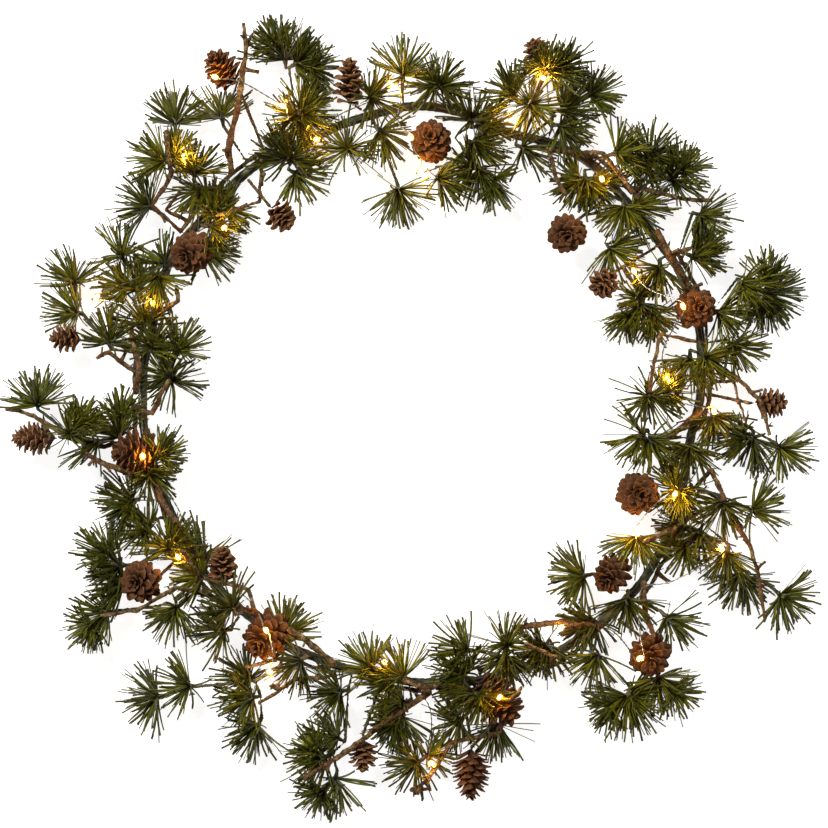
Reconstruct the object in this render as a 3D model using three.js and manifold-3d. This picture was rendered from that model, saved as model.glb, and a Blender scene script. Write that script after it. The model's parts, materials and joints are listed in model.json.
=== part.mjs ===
// Larch wreath: a closed ring of taped wire carries green needle sprays, brown twigs, cones and a
// string of small lights. It lies flat, face up, with the ring's underside on the surface.
import * as THREE from "three";
import Module from "manifold-3d";
import { mergeVertices } from "three/addons/utils/BufferGeometryUtils.js";

const wasm = await Module();
wasm.setup();

// Driving dimensions, in millimetres.
const WREATH_SPAN = 500; // across the needle tips
const RING_RADIUS = 3.4; // of the wire bundle, to its corners
const RING_SIDES = 6;
const STRAND_RADIUS = 1.5; // a taped stem where it lies along the ring
const STEM_RADIUS = 1.4; // a taped stem that carries a tuft
const STEM_TURN = 5; // how far behind its tuft a stem turns into line with it
const ROOT_RADIUS = 0.5; // of a stem at its root, which is sunk into what it grows from
const CONE_STEM_RADIUS = 1.3;
const NEEDLE_LENGTH = 28;
const TUFT_CORE_RADIUS = 2;
const WIRE_RADIUS = 0.6;
const LIGHT_RADIUS = 2.1;
const LIGHT_STRETCH = 1.4; // half a light's length against its radius
const SURFACE_GAP = 0.7; // what isn't the ring stays this far above the surface
const TOUCH_GAP = 0.35; // left between pieces that touch
const OWN_GAP = 0.1; // left between the tufts of one spray

// The picture's points: its middle, how many of them the wreath spans, and how far away the eye was.
const PICTURE_MIDDLE = { x: 411.5, y: 416.5 };
const SPAN_IN_POINTS = 813;
const EYE_HEIGHT = 2400;
const MM_PER_POINT = WREATH_SPAN / SPAN_IN_POINTS;

// Heights above the surface.
const RING_HEIGHT = RING_RADIUS * Math.cos(Math.PI / RING_SIDES);
const SPRAY_STRAND_HEIGHT = RING_HEIGHT + RING_RADIUS + TOUCH_GAP * 1.2 + STRAND_RADIUS;
const TWIG_STRAND_HEIGHT = SURFACE_GAP + STRAND_RADIUS + 0.8;
const TWIG_STRAND_OFFSET = RING_RADIUS + TOUCH_GAP * 2 + STRAND_RADIUS;
const CONE_FOOT = { offset: 4.4, height: 6.8 };
const TWIG_HEIGHT = { root: 13, tip: 32 };
const CONE_HEIGHT = { lying: 24, facing: 33 };
const LIGHT_HEIGHT = 33;
const TUFT_HEIGHT = { low: 13, spread: 9, upright: 9, least: 9 }; // an upright tuft stands higher
const WIRE_HEIGHT = 13;
const SHORT_WIRE = 45; // a stretch between lights under this length dips only once

// The ring's centre line, clockwise from the upper left, in points of the picture.
const RING_LINE = [
  [200, 222], [255, 165], [320, 135], [380, 112], [450, 108], [500, 130], [580, 155], [625, 200],
  [665, 250], [692, 300], [702, 380], [690, 440], [674, 520], [635, 590], [570, 645], [500, 675],
  [430, 683], [360, 670], [300, 652], [240, 608], [190, 555], [168, 505], [150, 455], [142, 400],
  [152, 325], [175, 250],
];

// The needle tufts of each spray: where the tuft's base is, x and y, and where its longest needle
// ends, x and y, in points of the picture.
const SPRAYS = {
  needle_spray_01: [[175, 124, 173, 80], [222, 118, 216, 78], [165, 160, 138, 142],
    [195, 174, 203, 140], [201, 190, 190, 215]],
  needle_spray_02: [[150, 207, 114, 186], [214, 214, 236, 184], [210, 226, 250, 226],
    [202, 248, 238, 262]],
  needle_spray_03: [[122, 256, 108, 216], [165, 264, 150, 236], [138, 290, 126, 252],
    [147, 323, 146, 288], [158, 276, 184, 290]],
  needle_spray_04: [[75, 283, 70, 243], [78, 313, 46, 304], [110, 342, 105, 306],
    [178, 350, 200, 318], [172, 380, 184, 388], [152, 348, 156, 322]],
  needle_spray_05: [[38, 405, 36, 364], [70, 434, 54, 414], [120, 437, 96, 398],
    [98, 442, 66, 454], [147, 468, 156, 462], [133, 500, 102, 500]],
  needle_spray_06: [[148, 530, 118, 536], [168, 549, 148, 512], [203, 560, 190, 510],
    [203, 576, 166, 568], [110, 555, 80, 532], [120, 567, 84, 576], [124, 585, 90, 594]],
  needle_spray_07: [[108, 612, 66, 616], [177, 607, 144, 630], [233, 608, 202, 586],
    [224, 630, 186, 632]],
  needle_spray_08: [[158, 696, 112, 702], [190, 686, 158, 682], [250, 680, 214, 656],
    [253, 697, 212, 702], [258, 725, 238, 764], [284, 634, 272, 594], [301, 660, 266, 678]],
  needle_spray_09: [[341, 691, 302, 698], [338, 738, 298, 722], [325, 757, 280, 782],
    [336, 778, 330, 824]],
  needle_spray_10: [[372, 668, 336, 638], [404, 677, 374, 646], [392, 682, 354, 698],
    [404, 702, 364, 716], [402, 716, 398, 758], [418, 762, 384, 778]],
  needle_spray_11: [[474, 692, 428, 694], [460, 720, 424, 742], [480, 694, 478, 722],
    [468, 650, 426, 642], [463, 674, 446, 662], [497, 724, 502, 766]],
  needle_spray_12: [[506, 645, 504, 640], [506, 656, 500, 692], [546, 646, 534, 684],
    [596, 622, 588, 660], [598, 655, 590, 696], [627, 695, 604, 742]],
  needle_spray_13: [[627, 598, 620, 638], [584, 576, 550, 590], [637, 537, 634, 580],
    [658, 677, 670, 720], [667, 617, 694, 644]],
  needle_spray_14: [[700, 531, 682, 576], [727, 552, 720, 596], [741, 574, 742, 620],
    [780, 595, 811, 625]],
  needle_spray_15: [[723, 503, 722, 540], [752, 510, 788, 522], [690, 445, 690, 488],
    [682, 490, 680, 526], [643, 434, 618, 460], [650, 440, 668, 476]],
  needle_spray_16: [[649, 396, 648, 404], [713, 416, 718, 458], [753, 438, 752, 480],
    [779, 447, 804, 474]],
  needle_spray_17: [[690, 358, 692, 402], [705, 357, 728, 374], [731, 345, 756, 374],
    [718, 312, 746, 318], [742, 283, 766, 308], [767, 292, 808, 313]],
  needle_spray_18: [[642, 303, 632, 348], [660, 266, 660, 300], [692, 257, 730, 268],
    [699, 215, 732, 232], [610, 248, 642, 276]],
  needle_spray_19: [[624, 206, 626, 250], [632, 207, 682, 220], [671, 179, 676, 172],
    [650, 156, 676, 132], [616, 153, 652, 142], [585, 178, 588, 224]],
  needle_spray_20: [[548, 70, 574, 42], [562, 110, 616, 96], [560, 126, 598, 138],
    [530, 104, 532, 102], [515, 95, 504, 60], [522, 147, 556, 162]],
  needle_spray_21: [[471, 121, 494, 88], [478, 126, 516, 118], [472, 143, 508, 164],
    [480, 168, 490, 212], [440, 87, 462, 72], [438, 178, 474, 182]],
  needle_spray_22: [[403, 75, 408, 40], [371, 97, 374, 94], [347, 149, 348, 152],
    [380, 131, 404, 156], [398, 189, 402, 222]],
  needle_spray_23: [[285, 60, 280, 10], [296, 64, 334, 46], [300, 108, 324, 88],
    [301, 114, 332, 130], [292, 160, 306, 142], [295, 173, 332, 194], [286, 158, 262, 132]],
};

// The brown twigs: each branch gives its width at both ends and its line, in points of the picture.
const TWIGS = {
  twig_01: [
    { width: [10, 5], line: [[232, 172], [228, 150], [237, 110], [246, 60], [244, 24]] },
    { width: [5, 3], line: [[246, 50], [253, 32]] },
    { width: [6, 5], line: [[165, 245], [168, 200], [168, 175], [173, 125]] },
    { width: [5, 3], line: [[166, 210], [179, 192]] },
    { width: [5, 4], line: [[281, 172], [262, 203], [232, 212]] },
  ],
  twig_02: [
    { width: [6, 5], line: [[165, 310], [172, 297], [184, 277]] },
    { width: [8, 6], line: [[139, 396], [137, 370], [132, 325]] },
    { width: [6, 4], line: [[136, 372], [108, 353], [95, 358]] },
  ],
  twig_03: [
    { width: [6, 5], line: [[150, 425], [158, 405], [165, 390]] },
    { width: [7, 4], line: [[103, 446], [70, 438], [35, 415], [6, 409]] },
    { width: [7, 5], line: [[135, 475], [116, 467], [88, 452]] },
  ],
  twig_04: [
    { width: [8, 6], line: [[157, 482], [165, 500], [175, 518]] },
    { width: [6, 4], line: [[207, 588], [180, 584], [130, 600], [113, 610]] },
    { width: [6, 5], line: [[262, 622], [247, 598], [240, 583], [205, 568], [180, 560]] },
  ],
  twig_05: [
    { width: [7, 6], line: [[335, 660], [305, 642], [290, 628]] },
    { width: [5, 4], line: [[345, 666], [300, 677], [265, 710]] },
    { width: [5, 4], line: [[275, 660], [245, 668]] },
  ],
  twig_06: [
    { width: [7, 6], line: [[445, 680], [420, 686], [400, 680]] },
    { width: [7, 5], line: [[430, 692], [385, 722], [350, 748], [305, 778]] },
  ],
  twig_07: [
    { width: [6, 4], line: [[500, 700], [500, 722], [460, 750], [437, 768], [421, 794]] },
    { width: [5, 3], line: [[432, 776], [416, 782]] },
    { width: [5, 4], line: [[480, 711], [515, 698], [534, 687]] },
  ],
  twig_08: [
    { width: [7, 6], line: [[600, 617], [555, 627], [512, 637]] },
    { width: [5, 4], line: [[532, 632], [530, 619]] },
  ],
  twig_09: [
    { width: [7, 6], line: [[668, 520], [645, 540]] },
    { width: [7, 5], line: [[640, 580], [650, 622], [652, 640]] },
  ],
  twig_10: [
    { width: [7, 6], line: [[712, 470], [724, 500]] },
    { width: [6, 4], line: [[724, 500], [747, 540], [760, 578], [764, 620]] },
  ],
  twig_11: [
    { width: [7, 6], line: [[700, 412], [668, 438]] },
    { width: [6, 4], line: [[712, 360], [735, 380], [762, 402], [770, 436]] },
    { width: [4, 3], line: [[733, 382], [745, 422]] },
  ],
  twig_12: [
    { width: [8, 6], line: [[692, 295], [668, 255], [655, 230]] },
    { width: [5, 4], line: [[670, 255], [691, 247]] },
    { width: [5, 4], line: [[690, 330], [668, 345], [660, 382]] },
  ],
  twig_13: [
    { width: [6, 5], line: [[540, 158], [550, 183], [570, 208]] },
    { width: [6, 5], line: [[560, 147], [600, 160], [641, 192]] },
    { width: [5, 5], line: [[641, 188], [680, 199], [712, 200]] },
  ],
};

// Each cone: its middle, its radius and length, the way that its tip points in the picture (degrees,
// counter-clockwise from the right), and how far its tip turns up from the surface (degrees).
const CONES = {
  cone_01: { middle: [187, 256], radius: 21, length: 40, way: 225, rise: 70 },
  cone_02: { middle: [64, 338], radius: 14, length: 34, way: 180, rise: 15 },
  cone_03: { middle: [33, 438], radius: 16, length: 48, way: 180, rise: 8 },
  cone_04: { middle: [124, 453], radius: 14, length: 30, way: 180, rise: 30 },
  cone_05: { middle: [140, 582], radius: 22, length: 40, way: 180, rise: 62 },
  cone_06: { middle: [222, 558], radius: 15, length: 32, way: 90, rise: 30 },
  cone_07: { middle: [262, 641], radius: 22, length: 42, way: 225, rise: 52 },
  cone_08: { middle: [363, 757], radius: 14, length: 34, way: 270, rise: 12 },
  cone_09: { middle: [471, 775], radius: 18, length: 56, way: 270, rise: 8 },
  cone_10: { middle: [507, 713], radius: 15, length: 34, way: 315, rise: 25 },
  cone_11: { middle: [608, 579], radius: 16, length: 34, way: 225, rise: 50 },
  cone_12: { middle: [640, 494], radius: 22, length: 40, way: 0, rise: 84 },
  cone_13: { middle: [773, 403], radius: 15, length: 34, way: 0, rise: 12 },
  cone_14: { middle: [699, 308], radius: 21, length: 40, way: 0, rise: 80 },
  cone_15: { middle: [537, 52], radius: 15, length: 34, way: 120, rise: 15 },
  cone_16: { middle: [431, 138], radius: 22, length: 40, way: 90, rise: 80 },
  cone_17: { middle: [349, 69], radius: 15, length: 32, way: 90, rise: 30 },
  cone_18: { middle: [222, 68], radius: 18, length: 48, way: 130, rise: 30 },
  cone_19: { middle: [282, 218], radius: 15, length: 32, way: 315, rise: 30 },
  cone_20: { middle: [567, 234], radius: 20, length: 40, way: 270, rise: 75 },
  cone_21: { middle: [603, 284], radius: 15, length: 32, way: 225, rise: 30 },
  cone_22: { middle: [650, 656], radius: 22, length: 42, way: 270, rise: 62 },
};

// The lights, clockwise along their wire, in points of the picture.
const LIGHTS = [
  [215, 77], [283, 106], [317, 139], [393, 86], [411, 137], [421, 172], [512, 120], [543, 78],
  [602, 179], [634, 271], [683, 306], [668, 379], [714, 411], [675, 494], [637, 533], [721, 548],
  [640, 658], [561, 627], [500, 697], [432, 763], [385, 662], [270, 672], [266, 630], [178, 557],
  [143, 456], [153, 303], [97, 297], [224, 228], [184, 157],
];

// The opening in the middle, which no needle reaches into, in points of the picture.
const HOLE = { left: 247, right: 546, top: 240, bottom: 552 };

// Seeded draws, the same on every run.
let seed = 20261;
function draw(low, high) {
  seed = (Math.imul(seed, 1664525) + 1013904223) >>> 0;
  return low + (high - low) * (seed / 4294967296);
}

// A point of the picture, at a height above the surface, in the part's own millimetres.
function place([x, y], height) {
  const scale = MM_PER_POINT * (1 - height / EYE_HEIGHT);
  return new THREE.Vector3((x - PICTURE_MIDDLE.x) * scale, (PICTURE_MIDDLE.y - y) * scale, height);
}

const UP = new THREE.Vector3(0, 0, 1);
const ringCurve = new THREE.CatmullRomCurve3(RING_LINE.map((p) => place(p, RING_HEIGHT)), true);
const ringSamples = ringCurve.getSpacedPoints(360).slice(0, 360);

// The share of the way round the ring, 0 to 1, that is nearest to a point.
function ringShare(point) {
  let best = 0;
  let least = Infinity;
  ringSamples.forEach((sample, i) => {
    const d = Math.hypot(sample.x - point.x, sample.y - point.y);
    if (d < least) {
      least = d;
      best = i;
    }
  });
  return best / ringSamples.length;
}

// A point beside the ring: outwards by the offset, at the height.
function besideRing(share, offset, height) {
  const t = ((share % 1) + 1) % 1;
  const point = ringCurve.getPointAt(t);
  const along = ringCurve.getTangentAt(t);
  const outward = new THREE.Vector3().crossVectors(UP, along).normalize();
  return point.addScaledVector(outward, offset).setZ(height);
}

// What is already placed, as tapered capsules: two ends, a radius at each, its node, and its tuft.
const placed = [];
function keep(node, a, b, radiusA, radiusB, tuft = "") {
  placed.push({ node, tuft, a: a.clone(), b: b.clone(), radiusA, radiusB });
}

// The clear distance between two tapered capsules.
function clearance(p, q) {
  const u = p.b.clone().sub(p.a);
  const v = q.b.clone().sub(q.a);
  const w = p.a.clone().sub(q.a);
  const uu = u.dot(u);
  const vv = v.dot(v);
  const uv = u.dot(v);
  const uw = u.dot(w);
  const vw = v.dot(w);
  const clamp = (x) => Math.min(1, Math.max(0, x));
  const spread = uu * vv - uv * uv;
  let s = spread > 1e-9 ? clamp((uv * vw - vv * uw) / spread) : 0;
  const t = vv > 1e-9 ? clamp((uv * s + vw) / vv) : 0;
  s = uu > 1e-9 ? clamp((uv * t - uw) / uu) : 0;
  const gap = w.addScaledVector(u, s).addScaledVector(v, -t).length();
  return gap - (p.radiusA + (p.radiusB - p.radiusA) * s) - (q.radiusA + (q.radiusB - q.radiusA) * t);
}

// True when a tapered capsule stays clear of the surface and of every piece but its own.
// With the same node too, it also stays clear of the node's other tufts.
const FAR_APART = 2.35; // past the radii, where boxes that don't meet need no closer look
function isClear(piece, sameNodeToo = false) {
  if (piece.a.z - piece.radiusA < SURFACE_GAP || piece.b.z - piece.radiusB < SURFACE_GAP) return false;
  return placed.every((other) => {
    if (other.node === piece.node && (!sameNodeToo || other.tuft === piece.tuft)) return true;
    const reach = FAR_APART + other.radiusA + other.radiusB;
    if (Math.min(piece.a.x, piece.b.x) - reach > Math.max(other.a.x, other.b.x)) return true;
    if (Math.max(piece.a.x, piece.b.x) + reach < Math.min(other.a.x, other.b.x)) return true;
    if (Math.min(piece.a.y, piece.b.y) - reach > Math.max(other.a.y, other.b.y)) return true;
    if (Math.max(piece.a.y, piece.b.y) + reach < Math.min(other.a.y, other.b.y)) return true;
    return clearance(piece, other) > (other.node === piece.node ? OWN_GAP : TOUCH_GAP);
  });
}

// The links of a line as capsules.
function links(node, line, radii) {
  return line.slice(1).map((b, i) => ({
    node, tuft: "", a: line[i], b, radiusA: radii[i], radiusB: radii[i + 1],
  }));
}

// True when a line nowhere turns back on itself.
const SHARPEST = -0.1; // the least cosine between one link and the next
function isGentle(line) {
  return line.slice(2).every((next, i) => {
    const before = line[i + 1].clone().sub(line[i]).normalize();
    const after = next.clone().sub(line[i + 1]).normalize();
    return before.dot(after) > SHARPEST;
  });
}

// Moves the free points of a line, first up or down and then sideways too, a little further with
// each try, until the line clears the rest.
// It sets out gently from a point ahead of it, where there is one. Gives null where no try clears.
const unsettled = [];
function settle(node, line, radii, isFree, ahead = []) {
  const TRIES = 900;
  const FURTHEST_RISE = 26;
  const FURTHEST_SIDE = 22;
  const SIDE_STARTS = 0.25; // the share of the tries before a point moves sideways
  for (let i = 0; i < TRIES; i++) {
    const rise = (i / TRIES) * FURTHEST_RISE;
    const side = Math.max(0, i / TRIES - SIDE_STARTS) * FURTHEST_SIDE;
    const shifted = (point) => point.clone()
      .add(new THREE.Vector3(draw(-side, side), draw(-side, side), draw(-0.5 * rise, rise)));
    const moved = line.map((point, k) => (isFree(k) ? shifted(point) : point));
    const isFreeWay = links(node, moved, radii).every((link) => isClear(link));
    if (isFreeWay && isGentle([...ahead, ...moved])) return moved;
  }
  return null;
}

// A closed solid from points and triangles.
function solid(points, triangles) {
  return new wasm.Manifold(new wasm.Mesh({
    numProp: 3,
    vertProperties: new Float32Array(points.flatMap((p) => [p.x, p.y, p.z])),
    triVerts: new Uint32Array(triangles.flat()),
  }));
}

// A tube along a line of points, with its radius at each, its ends flat, or joined on a closed line.
function tube(line, radii, sides, closed = false) {
  const count = line.length;
  const points = [];
  const triangles = [];
  let side = null;
  line.forEach((point, i) => {
    const before = line[closed ? (i + count - 1) % count : Math.max(0, i - 1)];
    const after = line[closed ? (i + 1) % count : Math.min(count - 1, i + 1)];
    const along = after.clone().sub(before).normalize();
    if (closed || !side) {
      const level = Math.abs(along.z) < 0.9 ? UP : new THREE.Vector3(1, 0, 0);
      side = new THREE.Vector3().crossVectors(level, along).normalize();
    }
    side.addScaledVector(along, -side.dot(along)).normalize();
    const top = new THREE.Vector3().crossVectors(along, side);
    for (let k = 0; k < sides; k++) {
      const turn = Math.PI * (1.5 + (2 * k + 1) / sides);
      points.push(point.clone().addScaledVector(side, Math.cos(turn) * radii[i])
        .addScaledVector(top, Math.sin(turn) * radii[i]));
    }
  });
  for (let i = 0; i < count - (closed ? 0 : 1); i++) {
    for (let k = 0; k < sides; k++) {
      const a = i * sides + k;
      const b = i * sides + ((k + 1) % sides);
      const shift = ((i + 1) % count) * sides - i * sides;
      triangles.push([a, b, b + shift], [a, b + shift, a + shift]);
    }
  }
  if (!closed) {
    const last = (count - 1) * sides;
    for (let k = 1; k < sides - 1; k++) {
      triangles.push([0, k + 1, k], [last, last + k, last + k + 1]);
    }
  }
  return solid(points, triangles);
}

// Joins solids into one, and fills what the joining seals inside it.
function join(solids) {
  const SMALLEST_BODY = 0.5;
  const bodies = solids.reduce((whole, piece) => whole.add(piece)).decompose();
  const outsides = bodies.filter((body) => body.volume() > SMALLEST_BODY);
  if (outsides.length > 1) unsettled.push("a piece in " + outsides.length + " bodies");
  return bodies.reduce((largest, body) => (body.volume() > largest.volume() ? body : largest));
}

const PAINT = {
  tape: new THREE.MeshStandardMaterial({ color: 0x26382f, roughness: 0.75, metalness: 0 }),
  needle: new THREE.MeshStandardMaterial({ color: 0x3d4f26, roughness: 0.55, metalness: 0 }),
  twig: new THREE.MeshStandardMaterial({ color: 0x6b5344, roughness: 0.8, metalness: 0 }),
  cone: new THREE.MeshStandardMaterial({ color: 0x573a2e, roughness: 0.8, metalness: 0 }),
  light: new THREE.MeshStandardMaterial({ color: 0xffd48a, roughness: 0.3, metalness: 0 }),
};

const wreath = new THREE.Group();
wreath.name = "larch_wreath";

// Adds a solid to the wreath as a named mesh.
function addPiece(name, whole, paint) {
  const { numProp, vertProperties, triVerts } = whole.getMesh();
  if (numProp !== 3) throw new Error(name + " has extra values on its points");
  const geometry = new THREE.BufferGeometry();
  geometry.setAttribute("position", new THREE.BufferAttribute(new Float32Array(vertProperties), 3));
  geometry.setIndex(new THREE.BufferAttribute(new Uint32Array(triVerts), 1));
  geometry.computeVertexNormals();
  const mesh = new THREE.Mesh(geometry, paint);
  mesh.name = name;
  wreath.add(mesh);
}

// The ring: a six-sided bundle whose lowest side lies flat on the surface.
const RING_STEPS = 40;
const ringLine = ringCurve.getSpacedPoints(RING_STEPS).slice(0, RING_STEPS);
addPiece("ring_frame", tube(ringLine, ringLine.map(() => RING_RADIUS), RING_SIDES, true), PAINT.tape);
ringLine.forEach((point, i) => {
  keep("ring_frame", point, ringLine[(i + 1) % RING_STEPS], RING_RADIUS, RING_RADIUS);
});

// Where a group sits round the ring: the middle of its members' shares, met the short way round.
function middleShare(points) {
  const sum = points.map((p) => ringShare(p) * Math.PI * 2)
    .reduce((total, turn) => [total[0] + Math.cos(turn), total[1] + Math.sin(turn)], [0, 0]);
  return (Math.atan2(sum[1], sum[0]) / (Math.PI * 2) + 1) % 1;
}

// The strands that lie along the ring, one for each group: each runs at most halfway to its
// neighbours, and no further than its reach, as a share of the ring.
function strandsOf(groups, offset, height, steps, reach) {
  const order = Object.entries(groups).map(([name, points]) => ({ name, share: middleShare(points) }))
    .sort((a, b) => a.share - b.share);
  const END_GAP = 0.0035;
  return Object.fromEntries(order.map(({ name, share }, i) => {
    const previous = order[(i + order.length - 1) % order.length].share;
    const next = order[(i + 1) % order.length].share;
    const back = Math.min(reach, (((share - previous + 1) % 1) / 2) - END_GAP);
    const ahead = Math.min(reach, (((next - share + 1) % 1) / 2) - END_GAP);
    const line = [];
    for (let k = 0; k <= steps; k++) {
      line.push(besideRing(share - back + ((back + ahead) * k) / steps, offset, height));
    }
    return [name, line];
  }));
}

// How far in from a strand's end, as a share of its first stretch, a branch may start.
const ROOT_INSET = 0.3;

// A branching node: its solids, and the lines that a new branch may start from.
function newTree(node, strand) {
  const radii = strand.map(() => STRAND_RADIUS);
  links(node, strand, radii).forEach((link) => keep(node, link.a, link.b, link.radiusA, link.radiusB));
  const last = strand.length - 1;
  const inner = strand.map((point) => point.clone());
  inner[0].lerp(strand[1], ROOT_INSET);
  inner[last].lerp(strand[last - 1], ROOT_INSET);
  return { node, lines: [inner], solids: [tube(strand, radii, 4)] };
}

// The point of a tree's lines that is nearest to a point.
function nearestOn(tree, point) {
  let best = null;
  let least = Infinity;
  tree.lines.forEach((line) => line.slice(1).forEach((b, i) => {
    const on = new THREE.Line3(line[i], b).closestPointToPoint(point, true, new THREE.Vector3());
    if (on.distanceTo(point) < least) {
      least = on.distanceTo(point);
      best = on;
    }
  }));
  return best;
}

// Adds a settled branch to a tree's lines.
function grow(tree, line, radii, tuft = "") {
  links(tree.node, line, radii)
    .forEach((link) => keep(tree.node, link.a, link.b, link.radiusA, link.radiusB, tuft));
  tree.lines.push(tuft ? line.slice(1) : line);
}

// Settles a branch from the tree's nearest place, or from one a little further along, to its end.
const ROOT_TRIES = 10;
const ROOT_STEP = 4;
function branchOut(tree, line, radii, isFree) {
  for (let i = 0; i < ROOT_TRIES; i++) {
    const beside = new THREE.Vector3(draw(-i, i), draw(-i, i), 0).multiplyScalar(ROOT_STEP);
    const start = nearestOn(tree, line[0].clone().setZ(TWIG_STRAND_HEIGHT).add(beside));
    const settled = settle(tree.node, [start, ...line], radii, isFree);
    if (settled) return settled;
  }
  unsettled.push(tree.node + " near " + line[0].toArray().map(Math.round));
  return [nearestOn(tree, line[0]), ...line];
}

const tuftPoints = Object.fromEntries(Object.entries(SPRAYS)
  .map(([name, tufts]) => [name, tufts.map(([x, y]) => place([x, y], 0))]));
const twigPoints = Object.fromEntries(Object.entries(TWIGS)
  .map(([name, branches]) => [name, branches.flatMap(({ line }) => line.map((p) => place(p, 0)))]));
const SPRAY_STRAND = { steps: 3, reach: 0.02 };
const TWIG_STRAND = { steps: 2, reach: 0.016 };
const sprayStrands = strandsOf(
  tuftPoints, 0, SPRAY_STRAND_HEIGHT, SPRAY_STRAND.steps, SPRAY_STRAND.reach,
);
const twigStrands = strandsOf(
  twigPoints, TWIG_STRAND_OFFSET, TWIG_STRAND_HEIGHT, TWIG_STRAND.steps, TWIG_STRAND.reach,
);
const sprayTrees = Object.fromEntries(Object.entries(sprayStrands)
  .map(([name, strand]) => [name, newTree(name, strand)]));
const twigTrees = Object.fromEntries(Object.entries(twigStrands)
  .map(([name, strand]) => [name, newTree(name, strand)]));

// A cone about +Z from its base at 0: rows of scales, each a four-sided cell of a staggered net,
// raised to a point that leans towards the cone's tip.
function coneSolid(radius, length, rows, perRow) {
  const profile = (t) => Math.sin(Math.PI * (0.27 + 0.63 * t));
  const VALLEY = 0.66;
  const LEAN = 0.45;
  const onCone = (turn, r, z) => new THREE.Vector3(Math.cos(turn) * r, Math.sin(turn) * r, z);
  const points = [new THREE.Vector3(0, 0, 0), new THREE.Vector3(0, 0, length)];
  const net = [];
  for (let i = 0; i < rows; i++) {
    const t = (i + 0.5) / rows;
    net.push([]);
    for (let k = 0; k < perRow; k++) {
      const turn = ((k + (i % 2) * 0.5) / perRow) * Math.PI * 2;
      net[i].push(points.push(onCone(turn, radius * VALLEY * profile(t), t * length)) - 1);
    }
  }
  const triangles = [];
  for (let i = 0; i < rows; i++) {
    const t = (i + 0.5) / rows;
    for (let k = 0; k < perRow; k++) {
      const next = (k + 1) % perRow;
      const turn = ((k + 0.5 + (i % 2) * 0.5) / perRow) * Math.PI * 2;
      const lift = Math.min(0.97, t + LEAN / rows);
      const tip = points.push(onCone(turn, radius * profile(t), lift * length)) - 1;
      const beside = i % 2 ? next : k;
      const below = i === 0 ? 0 : net[i - 1][beside];
      const above = i === rows - 1 ? 1 : net[i + 1][beside];
      const left = net[i][k];
      const right = net[i][next];
      triangles.push([below, right, tip], [right, above, tip], [above, left, tip], [left, below, tip]);
    }
  }
  return { points, triangles };
}

// Turns and moves points made about +Z to an axis through a base.
function turned(points, axis, base, spin = 0) {
  const turn = new THREE.Quaternion().setFromUnitVectors(UP, axis)
    .multiply(new THREE.Quaternion().setFromAxisAngle(UP, spin));
  return points.map((p) => p.clone().applyQuaternion(turn).add(base));
}

// A direction from an angle in the picture and a rise from the surface, both in degrees.
function direction(way, rise) {
  const w = THREE.MathUtils.degToRad(way);
  const r = THREE.MathUtils.degToRad(rise);
  return new THREE.Vector3(Math.cos(w) * Math.cos(r), Math.sin(w) * Math.cos(r), Math.sin(r));
}

// The space above a cone or a light stays free of needles, so that it is seen.
const SIGHT_LINE = 60;
const inSight = [];
function keepInSight(point, radius) {
  const above = point.clone().setZ(point.z + SIGHT_LINE);
  inSight.push({ a: point.clone(), b: above, radiusA: radius, radiusB: radius });
}

const LONG_CONE = 44; // a cone longer than this, in points, has one more row of scales
const SCALES_IN_ROW = 5;
const coneStems = [];
Object.entries(CONES).forEach(([name, cone]) => {
  const radius = cone.radius * MM_PER_POINT;
  const length = cone.length * MM_PER_POINT;
  const axis = direction(cone.way, cone.rise);
  const height = THREE.MathUtils.lerp(CONE_HEIGHT.lying, CONE_HEIGHT.facing, axis.z);
  const middle = place(cone.middle, height);
  const base = middle.clone().addScaledVector(axis, -length / 2);
  const rows = cone.length > LONG_CONE ? 5 : 4;
  const { points, triangles } = coneSolid(radius, length, rows, SCALES_IN_ROW);
  const body = solid(turned(points, axis, base, draw(0, 1)), triangles);
  const low = base.clone().addScaledVector(axis, length * 0.36);
  const high = base.clone().addScaledVector(axis, length * 0.78);
  keep(name, low, high, radius, radius * 0.88);
  keepInSight(middle, radius * 0.75);
  coneStems.push({ name, body, base, axis, middle });
});

// Each cone's own stem runs from the side of the ring into the cone's base.
coneStems.forEach(({ name, body, base, axis, middle }) => {
  const share = ringShare(middle);
  const onRing = ringCurve.getPointAt(share);
  const isOutside = Math.hypot(middle.x, middle.y) > Math.hypot(onRing.x, onRing.y);
  const foot = besideRing(share, isOutside ? CONE_FOOT.offset : -CONE_FOOT.offset, CONE_FOOT.height);
  const inside = base.clone().addScaledVector(axis, 3);
  const behind = base.clone().addScaledVector(axis, -3.5);
  behind.z = Math.max(behind.z, SURFACE_GAP + CONE_STEM_RADIUS + 1);
  const half = foot.clone().lerp(behind, 0.5);
  const radii = [CONE_STEM_RADIUS, CONE_STEM_RADIUS, CONE_STEM_RADIUS, CONE_STEM_RADIUS];
  const rough = [foot, half, behind, inside];
  const line = settle(name, rough, radii, (k) => k === 1 || k === 2) || rough;
  if (line === rough) unsettled.push(name);
  links(name, line, radii).forEach((link) => keep(name, link.a, link.b, link.radiusA, link.radiusB));
  addPiece(name, body.add(tube(line, radii, 3)), PAINT.cone);
});

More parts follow.
